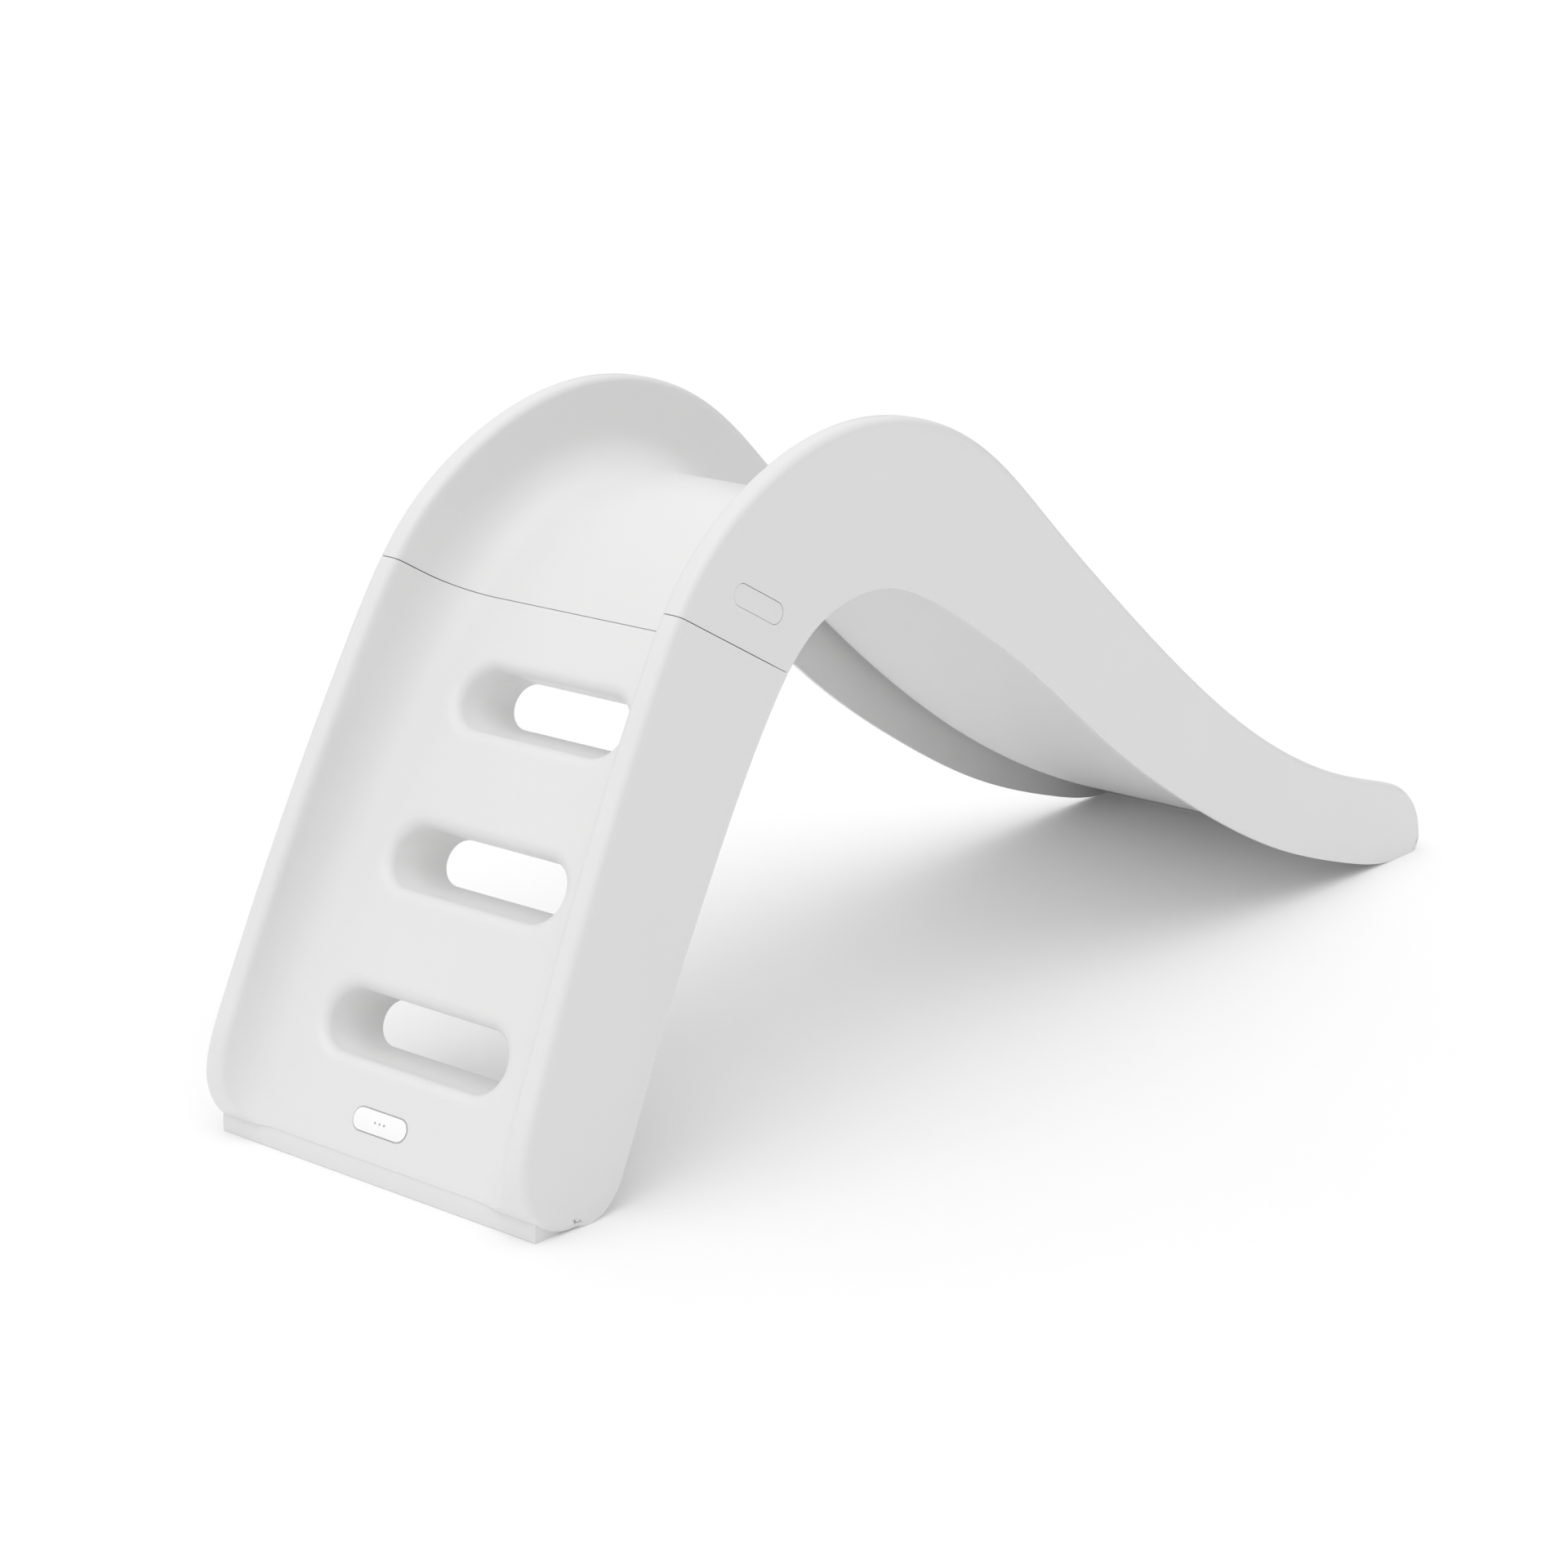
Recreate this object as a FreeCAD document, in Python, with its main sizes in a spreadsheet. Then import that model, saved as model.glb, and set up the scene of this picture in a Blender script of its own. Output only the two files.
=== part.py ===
"""Free-standing play slide: a ladder moulding plugged into a chute moulding.

Row frame, millimetres: +X runs from the ladder to the toe, +Z is up, and the
origin is on the floor, in the middle of the overall length and width.
"""
import FreeCAD, Part
import math
import os
import Sketcher

Vector = FreeCAD.Vector

SIZES = {
    "overall_length": 1570.0,
    "overall_width": 436.0,
    "overall_height": 680.0,
    "side_lean": 2.2,           # degrees that each side plate leans inwards
    "skin": 5.0,                # wall of both mouldings
    "rim_width": 25.0,          # outer face to the face inside the channel
    "channel_radius": 50.0,     # cove between the bed and the inner wall
    "leg_front_radius": 65.0,
    "leg_back_radius": 55.0,
    "leg_flat": 14.5,
    "toe_flat": 36.0,
    "nose_lip": 34.0,
    "plinth_rise": 22.0,
    "plinth_depth": 62.0,
    "plinth_inset": 7.0,
    "seam_gap": 1.0,
    "seam_slope": 29.0,         # degrees below level, along the seam
    "fit_gap": 0.6,             # lug to the walls that it slides between
    "lug_start": 35.0,
    "lug_width": 115.0,
    "lug_reach": 80.0,
    "lug_root": 60.0,
    "key_length": 75.2,
    "key_height": 21.6,
    "key_gap": 0.4,
    "key_along": 97.0,
    "key_above": 46.0,
    "rung_pitch": 166.4,
    "rung_tilt": 28.5,          # degrees that a slot falls towards the back
    "slot_height": 47.5,        # at the back opening
    "slot_margin": 110.0,       # side plate to the end of a slot
    "slot_depth": 65.0,
    "slot_rise": 10.5,          # back opening above the front one
    "slot_flare_length": 14.0,  # added to each end at the front
    "slot_flare_height": 7.5,   # added above and below at the front
    "slot_lip": 13.0,
    "badge_length": 72.0,
    "badge_height": 23.4,
    "badge_thickness": 2.0,
    "badge_gap": 0.3,
    "badge_rise": 54.8,
    "badge_aside": 6.0,         # towards the left of the middle
    "pad_thickness": 2.0,
    "pad_length": 70.0,
    "pad_gap": 0.3,
    "leg_pad_width": 34.0,
    "toe_pad_width": 24.0,
    "pad_from_middle": 140.0,
}

# Outline points, as shares of the overall length and height.
RIM = [
    (-0.4876, 0.1926), (-0.4452, 0.3991), (-0.3768, 0.6913), (-0.3301, 0.8456),
    (-0.2608, 0.9534), (-0.1659, 1.0), (-0.0539, 0.9253), (0.0150, 0.7956),
    (0.1274, 0.5703), (0.2086, 0.4229), (0.2955, 0.2931), (0.3887, 0.1941),
    (0.4521, 0.1471),
]
UNDERSIDE = [
    (0.3915, 0.0344), (0.2995, 0.1100), (0.1937, 0.2359), (0.0880, 0.3934),
    (-0.0148, 0.5763), (-0.0850, 0.6828), (-0.1598, 0.7547), (-0.2278, 0.7221),
    (-0.2715, 0.6224), (-0.3408, 0.3762), (-0.3778, 0.2263),
]
BED = [
    (-0.4506, 0.2000), (-0.3946, 0.4118), (-0.3347, 0.6162), (-0.2945, 0.7260),
    (-0.2105, 0.8515), (-0.1583, 0.8632), (-0.0844, 0.8081), (-0.0239, 0.6924),
    (0.0895, 0.4676), (0.2226, 0.2568), (0.3717, 0.0926), (0.4360, 0.0471),
]
BED_EXIT = (0.4965, 0.0294)
SILL_X = -0.4876
TOE_TIP_X = 0.4908
SEAM_POINT = (-0.3462, 0.7924)
NOSE_SHOULDER = (0.4850, 0.1103)
MIDDLE_SLOT = (-0.3968, 0.4023)
RIM_END = Vector(1, 0, -0.28)   # direction of the rim where the nose begins
NOSE_BELLY = Vector(3, 0, -1)   # how far the lower nose bulges from a straight line
OFFSET_SAMPLES = 60             # points used to draw one curve beside another
SEARCH_STEPS = 4000             # fineness of a search along the bed
BED_SHARE = 0.6                 # a bed edge spans more than this share of the slide
LIP_STEPS = 5                   # sections in the quarter turn of a slot's lip
LIP_REACH = 1.8                 # flare of a slot's cutter beyond its lip, in lips
OUTSIDE = 120.0                 # how far a cutting outline runs past the mouldings

doc = FreeCAD.newDocument("play_slide")
sheet = doc.addObject("Spreadsheet::Sheet", "sizes")
for row, (alias, value) in enumerate(SIZES.items(), start=1):
    sheet.set(f"A{row}", alias)
    sheet.set(f"B{row}", str(value))
    sheet.setAlias(f"B{row}", alias)
doc.recompute()


def size(alias):
    """A driving dimension, read from the sheet."""
    return float(sheet.get(alias))


def at(share):
    """The point in the side view at a share of the overall length and height."""
    return Vector(share[0] * size("overall_length"), 0, share[1] * size("overall_height"))


def spline(points, start=None, end=None):
    """A smooth curve through the points, with tangents where they are given."""
    curve = Part.BSplineCurve()
    if start is None and end is None:
        curve.interpolate(points)
    else:
        first = start or (points[1] - points[0])
        last = end or (points[-1] - points[-2])
        curve.interpolate(Points=points, InitialTangent=first, FinalTangent=last)
    return curve


def beside(curve, distance):
    """A curve beside another in the side view, on its right for a plus distance."""
    points = []
    for i in range(OFFSET_SAMPLES + 1):
        where = curve.FirstParameter + (curve.LastParameter - curve.FirstParameter) * i / OFFSET_SAMPLES
        along = curve.tangent(where)[0]
        points.append(curve.value(where) + Vector(along.z, 0, -along.x) * distance)
    return spline(points)


def closed(name, edges):
    """A document object that holds one closed outline in the side view."""
    outline = doc.addObject("Part::Feature", name)
    outline.Shape = Part.Wire(Part.__sortEdges__([edge.toShape() for edge in edges]))
    return outline


def line(a, b):
    """A straight edge between two points."""
    return Part.LineSegment(a, b)


def across(outline):
    """The outline extruded over more than the whole width."""
    block = doc.addObject("Part::Extrusion", outline.Name + "_block")
    block.Base = outline
    block.DirMode = "Custom"
    block.Dir = Vector(0, 1, 0)
    block.Symmetric = True
    block.Solid = True
    block.setExpression("LengthFwd", "sizes.overall_width * 1.5")
    return block


def leaning(name, inset):
    """The space between two planes that lean as the side plates do, inset from them."""
    wedge = doc.addObject("Part::Wedge", name)
    base = f"sizes.overall_width / 2 - ({inset}) / cos(sizes.side_lean * 1deg)"
    drop = "tan(sizes.side_lean * 1deg)"
    reach = "sizes.overall_length"
    low = "sizes.overall_height"
    wedge.setExpression("Xmin", f"-{reach}")
    wedge.setExpression("Xmax", f"{reach}")
    wedge.setExpression("X2min", f"-{reach}")
    wedge.setExpression("X2max", f"{reach}")
    wedge.setExpression("Ymin", f"-{low} / 4")
    wedge.setExpression("Ymax", f"{low} * 2")
    wedge.setExpression("Zmin", f"-({base} + {low} / 4 * {drop})")
    wedge.setExpression("Zmax", f"{base} + {low} / 4 * {drop}")
    wedge.setExpression("Z2min", f"-({base} - {low} * 2 * {drop})")
    wedge.setExpression("Z2max", f"{base} - {low} * 2 * {drop}")
    wedge.Placement = FreeCAD.Placement(Vector(), FreeCAD.Rotation(Vector(1, 0, 0), 90))
    return wedge


def common(name, a, b):
    """What two shapes share."""
    both = doc.addObject("Part::Common", name)
    both.Base = a
    both.Tool = b
    return both


def cut(name, a, b):
    """The first shape without the second."""
    rest = doc.addObject("Part::Cut", name)
    rest.Base = a
    rest.Tool = b
    return rest


def fuse(name, *pieces):
    """Several shapes as one."""
    whole = doc.addObject("Part::MultiFuse", name)
    whole.Shapes = list(pieces)
    whole.Refine = False
    return whole


# ---- outlines in the side view ----

half_length = size("overall_length") / 2
front_r = size("leg_front_radius")
back_r = size("leg_back_radius")
leg_front = Vector(-half_length, 0, front_r)
leg_low_front = Vector(-half_length + front_r, 0, 0)
leg_low_back = leg_low_front + Vector(size("leg_flat"), 0, 0)
back_centre = leg_low_back + Vector(0, 0, back_r)
climb = at(UNDERSIDE[-2]) - at(UNDERSIDE[-1])
climb.normalize()
leg_back = back_centre + Vector(climb.z, 0, -climb.x) * back_r
toe_low = Vector(TOE_TIP_X * size("overall_length"), 0, 0)
toe_heel = toe_low - Vector(size("toe_flat"), 0, 0)
nose_tip = Vector(half_length, 0, size("nose_lip"))
rim_end = at(RIM[-1])
skin = size("skin")


def arc_about(centre, radius, a, b):
    """The short arc about a centre from one point to another."""
    middle = (a - centre) + (b - centre)
    middle.normalize()
    return Part.Arc(a, centre + middle * radius, b)


rim = spline([leg_front] + [at(p) for p in RIM], Vector(0, 0, 1), RIM_END)
lower_points = [toe_heel] + [at(p) for p in UNDERSIDE] + [leg_back]
underside = spline(lower_points, Vector(-1, 0, 0), -climb)
nose_top = Part.Arc(rim_end, at(NOSE_SHOULDER), nose_tip)
nose_low = Part.Arc(nose_tip, (nose_tip + toe_low) / 2 + NOSE_BELLY, toe_low)
side_outline = closed("side_outline", [
    rim, nose_top, nose_low, line(toe_low, toe_heel), underside,
    arc_about(back_centre, back_r, leg_back, leg_low_back),
    line(leg_low_back, leg_low_front),
    arc_about(leg_low_front + Vector(0, 0, front_r), front_r, leg_low_front, leg_front),
])

sill = Vector(SILL_X * size("overall_length"), 0, size("plinth_rise"))
bed_exit = at(BED_EXIT)
bed = spline([sill] + [at(p) for p in BED] + [bed_exit])


def above(name, floor, drop):
    """Everything above a floor curve and in front of the sill, lowered by a skin."""
    first = floor.value(floor.FirstParameter)
    last = floor.value(floor.LastParameter)
    high = size("overall_height") + OUTSIDE
    start = Vector(sill.x + drop, 0, first.z)
    corners = [
        first, start, Vector(start.x, 0, -OUTSIDE), Vector(-half_length - OUTSIDE, 0, -OUTSIDE),
        Vector(-half_length - OUTSIDE, 0, high), Vector(half_length + OUTSIDE, 0, high),
        Vector(half_length + OUTSIDE, 0, last.z), last,
    ]
    corners = [p for i, p in enumerate(corners) if i == 0 or (p - corners[i - 1]).Length > 1e-6]
    return closed(name, [floor] + [line(a, b) for a, b in zip(corners, corners[1:])])


channel_outline = above("channel_outline", bed, 0.0)
lining_outline = above("lining_outline", beside(bed, skin), skin)

hollow_rim = beside(rim, skin)
hollow_nose = nose_tip + Vector(-skin, 0, 0)
leg_inner = Vector(-half_length + skin, 0, front_r)
leg_inner_low = Vector(leg_low_front.x, 0, skin)
rim_stop = hollow_rim.value(hollow_rim.LastParameter)
toe_floor = toe_low + Vector(-skin, 0, skin)
toe_inner = toe_heel + Vector(0, 0, skin)
hollow_outline = closed("hollow_outline", [
    hollow_rim,
    Part.Arc(rim_stop, at(NOSE_SHOULDER) + Vector(-skin, 0, -skin) * math.sqrt(0.5), hollow_nose),
    line(hollow_nose, toe_floor), line(toe_floor, toe_inner),
    line(toe_inner, toe_inner - Vector(0, 0, OUTSIDE)),
    line(toe_inner - Vector(0, 0, OUTSIDE), Vector(leg_back.x + OUTSIDE, 0, -OUTSIDE)),
    line(Vector(leg_back.x + OUTSIDE, 0, -OUTSIDE), Vector(leg_back.x + OUTSIDE, 0, skin)),
    line(Vector(leg_back.x + OUTSIDE, 0, skin), leg_inner_low),
    arc_about(leg_low_front + Vector(0, 0, front_r), front_r - skin, leg_inner_low, leg_inner),
])
doc.recompute()


def coved(name, solid):
    """The block with its bed edges rounded, so that the channel has coved corners."""
    doc.recompute()
    chosen = []
    for number, edge in enumerate(solid.Shape.Edges, start=1):
        box = edge.BoundBox
        is_long = box.XLength > size("overall_length") * BED_SHARE
        is_curved = box.ZLength > size("overall_height") * BED_SHARE
        if is_long and is_curved and box.ZMax < size("overall_height"):
            chosen.append(number)
    radius = size("channel_radius") + (skin if name.startswith("lining") else 0.0)
    rounded = doc.addObject("Part::Fillet", name)
    rounded.Base = solid
    rounded.Edges = [(number, radius, radius) for number in chosen]
    return rounded


envelope = common("envelope", across(side_outline), leaning("outer_planes", "0"))
hollow = common("hollow", across(hollow_outline), leaning("hollow_planes", "sizes.skin"))
lining = coved("lining", common("lining_block", across(lining_outline),
                                leaning("lining_planes", "sizes.rim_width - sizes.skin")))
channel = coved("channel", common("channel_block", across(channel_outline),
                                  leaning("channel_planes", "sizes.rim_width")))
inside = cut("inside", hollow, lining)
shell = cut("shell", cut("walls", envelope, inside), channel)


# ---- the seam that parts the ladder from the chute ----

seam_at = at(SEAM_POINT)
seam_turn = FreeCAD.Rotation(Vector(0, 1, 0), size("seam_slope"))
along_seam = seam_turn.multVec(Vector(1, 0, 0))
above_seam = seam_turn.multVec(Vector(0, 0, 1))


def seam_box(name, along, rise, length, height):
    """A box across the whole width, laid out from the seam's outer end."""
    box = doc.addObject("Part::Box", name)
    box.setExpression("Length", length)
    box.setExpression("Width", "sizes.overall_width * 2")
    box.setExpression("Height", height)
    corner = seam_at + along_seam * along + above_seam * rise - Vector(0, size("overall_width"), 0)
    box.Placement = FreeCAD.Placement(corner, seam_turn)
    return box


reach = size("overall_length")
half_gap = size("seam_gap") / 2
double = "sizes.overall_length * 2"
chute_side = seam_box("chute_side", -reach, half_gap, double, double)
ladder_side = seam_box("ladder_side", -reach, -half_gap - 2 * reach, double, double)

# ---- the lug inside each side wall, which plugs the two mouldings together ----

lug_place = (size("lug_start"), -size("lug_root"), "sizes.lug_width")
lug_box = seam_box("lug_box", *lug_place, "sizes.lug_root + sizes.lug_reach")
root_box = seam_box("root_box", *lug_place, "sizes.lug_root - sizes.seam_gap / 2")
lugs = cut("lugs", common("lug_outer", lug_box, leaning("lug_outer_planes", "sizes.skin + sizes.fit_gap")),
           leaning("lug_inner_planes", "sizes.rim_width - sizes.skin - sizes.fit_gap"))
roots = cut("roots", common("root_outer", root_box, leaning("root_outer_planes", "sizes.skin / 2")),
            leaning("root_inner_planes", "sizes.rim_width - sizes.skin / 2"))


# ---- pill shapes: keys, key holes, rung slots and the badge ----

def side_name(side):
    """The side to a rider's left is +Y."""
    return "left" if side > 0 else "right"


def pill_sketch(sketch, length, height):
    """A closed slot outline about the sketch's origin, sized by two expressions."""
    r = float(sheet.evalExpression(height)) / 2
    c = float(sheet.evalExpression(length)) / 2 - r
    sketch.addGeometry([
        Part.LineSegment(Vector(-c, r, 0), Vector(c, r, 0)),
        Part.ArcOfCircle(Part.Circle(Vector(c, 0, 0), Vector(0, 0, 1), r), -math.pi / 2, math.pi / 2),
        Part.LineSegment(Vector(c, -r, 0), Vector(-c, -r, 0)),
        Part.ArcOfCircle(Part.Circle(Vector(-c, 0, 0), Vector(0, 0, 1), r), math.pi / 2, math.pi * 1.5),
    ], False)
    sketch.addConstraint([
        Sketcher.Constraint("Tangent", 0, 2, 1, 2), Sketcher.Constraint("Tangent", 1, 1, 2, 1),
        Sketcher.Constraint("Tangent", 2, 2, 3, 2), Sketcher.Constraint("Tangent", 3, 1, 0, 1),
        Sketcher.Constraint("Horizontal", 0),
        Sketcher.Constraint("Symmetric", 1, 3, 3, 3, -1, 1),
    ])
    radius = sketch.addConstraint(Sketcher.Constraint("Radius", 1, r))
    spread = sketch.addConstraint(Sketcher.Constraint("DistanceX", 3, 3, 1, 3, 2 * c))
    sketch.setExpression(f"Constraints[{radius}]", f"({height}) / 2")
    sketch.setExpression(f"Constraints[{spread}]", f"{length} - ({height})")


def pill_block(name, length, height, depth, placement, start=0.0):
    """A straight pill-shaped block for cutting, from its placement inwards."""
    sketch = doc.addObject("Sketcher::SketchObject", name + "_outline")
    pill_sketch(sketch, length, height)
    sketch.Placement = placement.multiply(FreeCAD.Placement(Vector(0, 0, start), FreeCAD.Rotation()))
    block = doc.addObject("Part::Extrusion", name)
    block.Base = sketch
    block.DirMode = "Normal"
    block.Solid = True
    block.setExpression("LengthFwd", depth)
    return block


def pill_body(label, length, height, depth, placement):
    """A pill-shaped piece of its own: a padded slot outline."""
    body = doc.addObject("PartDesign::Body", label)
    body.Label = label
    sketch = body.newObject("Sketcher::SketchObject", label + "_outline")
    plane = next(f for f in body.Origin.OriginFeatures if f.Role == "XY_Plane")
    sketch.AttachmentSupport = [(plane, "")]
    sketch.MapMode = "FlatFace"
    pill_sketch(sketch, length, height)
    pad = body.newObject("PartDesign::Pad", label + "_pad")
    pad.Profile = sketch
    pad.setExpression("Length", depth)
    body.Placement = placement
    return body


def facing(origin, right, inwards):
    """A placement whose X runs right and whose Z runs inwards."""
    up = inwards.cross(right)
    return FreeCAD.Placement(origin, FreeCAD.Rotation(right, up, inwards, "ZXY"))


lean = math.radians(size("side_lean"))
key_spot = seam_at + along_seam * size("key_along") + above_seam * size("key_above")
keys = []
key_holes = []
key_depth = "sizes.rim_width - sizes.skin - sizes.fit_gap"
key_proud = size("overall_width") / 20
for side in (1, -1):
    name = side_name(side)
    inwards = Vector(0, -side * math.cos(lean), -math.sin(lean))
    half_width = size("overall_width") / 2 - key_spot.z * math.tan(lean)
    on_plate = Vector(key_spot.x, side * half_width, key_spot.z)
    right = (along_seam - inwards * along_seam.dot(inwards)).normalize()
    placement = facing(on_plate, right, inwards)
    keys.append(pill_body("lock_key_" + name, "sizes.key_length", "sizes.key_height", key_depth, placement))
    key_holes.append(pill_block(
        "key_hole_" + name, "sizes.key_length + 2 * sizes.key_gap", "sizes.key_height + 2 * sizes.key_gap",
        key_depth + " + sizes.overall_width / 20", placement, -key_proud))

# ---- rung slots through the ladder panel ----


def along_panel(start, distance):
    """The place on the bed curve at a straight distance from another place on it."""
    step = (bed.LastParameter - bed.FirstParameter) / SEARCH_STEPS
    if distance < 0:
        step = -step
    where = bed.parameter(start)
    while bed.value(where).distanceToPoint(start) < abs(distance):
        where += step
    return bed.value(where)


def pill_wire(length, height, depth, rise):
    """A pill outline at a depth along its own axis, raised from the axis."""
    radius = height / 2
    reach_out = length / 2 - radius
    corners = [Vector(x, y - rise, depth) for x, y in (
        (-reach_out, radius), (reach_out, radius), (reach_out, -radius), (-reach_out, -radius))]
    left_end = Vector(-reach_out - radius, -rise, depth)
    right_end = Vector(reach_out + radius, -rise, depth)
    return Part.Wire([
        Part.LineSegment(corners[0], corners[1]).toShape(),
        Part.Arc(corners[1], right_end, corners[2]).toShape(),
        Part.LineSegment(corners[2], corners[3]).toShape(),
        Part.Arc(corners[3], left_end, corners[0]).toShape(),
    ])


def lipped(name, length, height, placement, inner, front, far_end):
    """A pill tunnel that flares to the front and ends in a lip of the given inner radius."""
    lip = size("slot_lip")
    stations = [(far_end, lip - inner, 0)] if far_end > size("slot_depth") else []
    stations.append((size("slot_depth"), lip - inner, 0))
    for step in range(LIP_STEPS + 1):
        angle = math.pi / 2 * step / LIP_STEPS
        stations.append((lip - inner * math.sin(angle), lip - inner * math.cos(angle), 1))
    stations.append((*front, 1))
    wires = []
    for where, grow, flare in stations:
        wires.append(pill_wire(
            length + 2 * (grow + flare * size("slot_flare_length")),
            height + 2 * (grow + flare * size("slot_flare_height")),
            where, (1 - flare) * size("slot_rise")))
    tunnel = doc.addObject("Part::Feature", name)
    tunnel.Shape = Part.makeLoft(wires, True, True)
    tunnel.Placement = placement
    return tunnel


tilt = math.radians(size("rung_tilt"))
into_slot = Vector(math.cos(tilt), 0, -math.sin(tilt))
middle = bed.value(bed.parameter(at(MIDDLE_SLOT)))
slot_spots = [along_panel(middle, -size("rung_pitch")), middle, along_panel(middle, size("rung_pitch"))]
collars = []
tunnels = []
lip = size("slot_lip")
for name, spot in zip(("low", "middle", "high"), slot_spots):
    length = size("overall_width") - 2 * (spot.z * math.tan(lean) + size("slot_margin"))
    placement = facing(spot, Vector(0, -1, 0), into_slot)
    collars.append(lipped("collar_" + name, length, size("slot_height"), placement,
                          lip - skin, (-skin, lip), size("slot_depth")))
    tunnels.append(lipped("tunnel_" + name, length, size("slot_height"), placement,
                          lip, (-skin, lip * LIP_REACH), size("slot_depth") + OUTSIDE))

# ---- plinth under the ladder ----


def floor_box(name, left, low, width, height):
    """A box across the whole width that stands at a height over the floor."""
    box = doc.addObject("Part::Box", name)
    box.Placement = FreeCAD.Placement(Vector(left, -size("overall_width"), low), FreeCAD.Rotation())
    box.setExpression("Length", width)
    box.setExpression("Width", "sizes.overall_width * 2")
    box.setExpression("Height", height)
    return box


plinth = common("plinth", floor_box("plinth_box", sill.x, 0.0, "sizes.plinth_depth", "sizes.plinth_rise"),
                leaning("plinth_planes", "sizes.plinth_inset"))
plinth_space = floor_box("plinth_hollow_box", sill.x + skin, skin,
                         "sizes.plinth_depth - 2 * sizes.skin", "sizes.plinth_rise")
plinth_hollow = common("plinth_hollow", plinth_space,
                       leaning("plinth_hollow_planes", "sizes.plinth_inset + sizes.skin"))

# ---- badge and grip pads, let into the mouldings ----

badge_where = bed.FirstParameter
while bed.value(badge_where).z < size("badge_rise"):
    badge_where += (bed.LastParameter - bed.FirstParameter) / SEARCH_STEPS
badge_up = bed.tangent(badge_where)[0]
badge_in = Vector(badge_up.z, 0, -badge_up.x)
badge_centre = bed.value(badge_where) + Vector(0, size("badge_aside"), 0)
badge_spot = facing(badge_centre, Vector(0, -1, 0), badge_in)
badge = pill_body("badge_plate", "sizes.badge_length", "sizes.badge_height",
                  "sizes.badge_thickness", badge_spot)
badge_recess = pill_block(
    "badge_recess", "sizes.badge_length + 2 * sizes.badge_gap", "sizes.badge_height + 2 * sizes.badge_gap",
    "sizes.badge_thickness + sizes.plinth_inset", badge_spot, -size("plinth_inset"))

pads = []
pad_recesses = []
leg_pad_x = leg_low_front.x - size("leg_pad_width") / 2
toe_pad_x = (toe_low.x + toe_heel.x) / 2 - size("toe_pad_width") / 2
for end, left in (("leg", leg_pad_x), ("toe", toe_pad_x)):
    for side in (1, -1):
        name = f"{end}_pad_{side_name(side)}"
        width = f"sizes.{end}_pad_width"
        pad = doc.addObject("Part::Box", name)
        pad.Label = name
        pad.setExpression("Length", width)
        pad.setExpression("Width", "sizes.pad_length")
        pad.setExpression("Height", "sizes.pad_thickness")
        near = side * size("pad_from_middle") - size("pad_length") / 2
        pad.Placement = FreeCAD.Placement(Vector(left, near, 0), FreeCAD.Rotation())
        pads.append(pad)
        recess = doc.addObject("Part::Box", name + "_recess")
        recess.setExpression("Length", width + " + 2 * sizes.pad_gap")
        recess.setExpression("Width", "sizes.pad_length + 2 * sizes.pad_gap")
        recess.setExpression("Height", "2 * sizes.pad_thickness")
        corner = Vector(left - size("pad_gap"), near - size("pad_gap"), -size("pad_thickness"))
        recess.Placement = FreeCAD.Placement(corner, FreeCAD.Rotation())
        pad_recesses.append((end, recess))

# ---- the two mouldings ----

ladder_skin = common("ladder_skin", shell, ladder_side)
ladder_blank = fuse("ladder_blank", ladder_skin, lugs, roots, plinth, *collars)
ladder_cuts = fuse("ladder_cuts", plinth_hollow, badge_recess, *tunnels, *key_holes,
                   *[r for end, r in pad_recesses if end == "leg"])
ladder = cut("ladder_shell", cut("ladder_open", ladder_blank, channel), ladder_cuts)
ladder.Label = "ladder_shell"
chute_cuts = fuse("chute_cuts", *key_holes, *[r for end, r in pad_recesses if end == "toe"])
chute = cut("chute_shell", common("chute_skin", shell, chute_side), chute_cuts)
chute.Label = "chute_shell"

# ---- checks, then the files ----

doc.recompute()
for made in doc.Objects:
    if "Invalid" in made.State or "Error" in made.State:
        raise RuntimeError(f"{made.Name} did not build: {made.State}")
pieces = [ladder, chute, badge] + keys + pads
for piece in pieces:
    shape = piece.Shape
    if shape.isNull() or not shape.isValid() or len(shape.Solids) != 1:
        raise RuntimeError(f"{piece.Label} is not one valid solid")
os.makedirs("parts", exist_ok=True)
for piece in pieces:
    piece.Shape.exportStep(f"parts/{piece.Label}.step")
print(f"wrote {len(pieces)} pieces")
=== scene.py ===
# %% [markdown]
# # A toddler's play slide
# This slide is two large plastic mouldings: a ladder with three rung slots, and an arched chute.
# They plug together along one seam and two pill-shaped keys lock them. The CAD frame holds every
# size, joint and fit. This script gives the pieces their real surfaces, edges and finishes.

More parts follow.
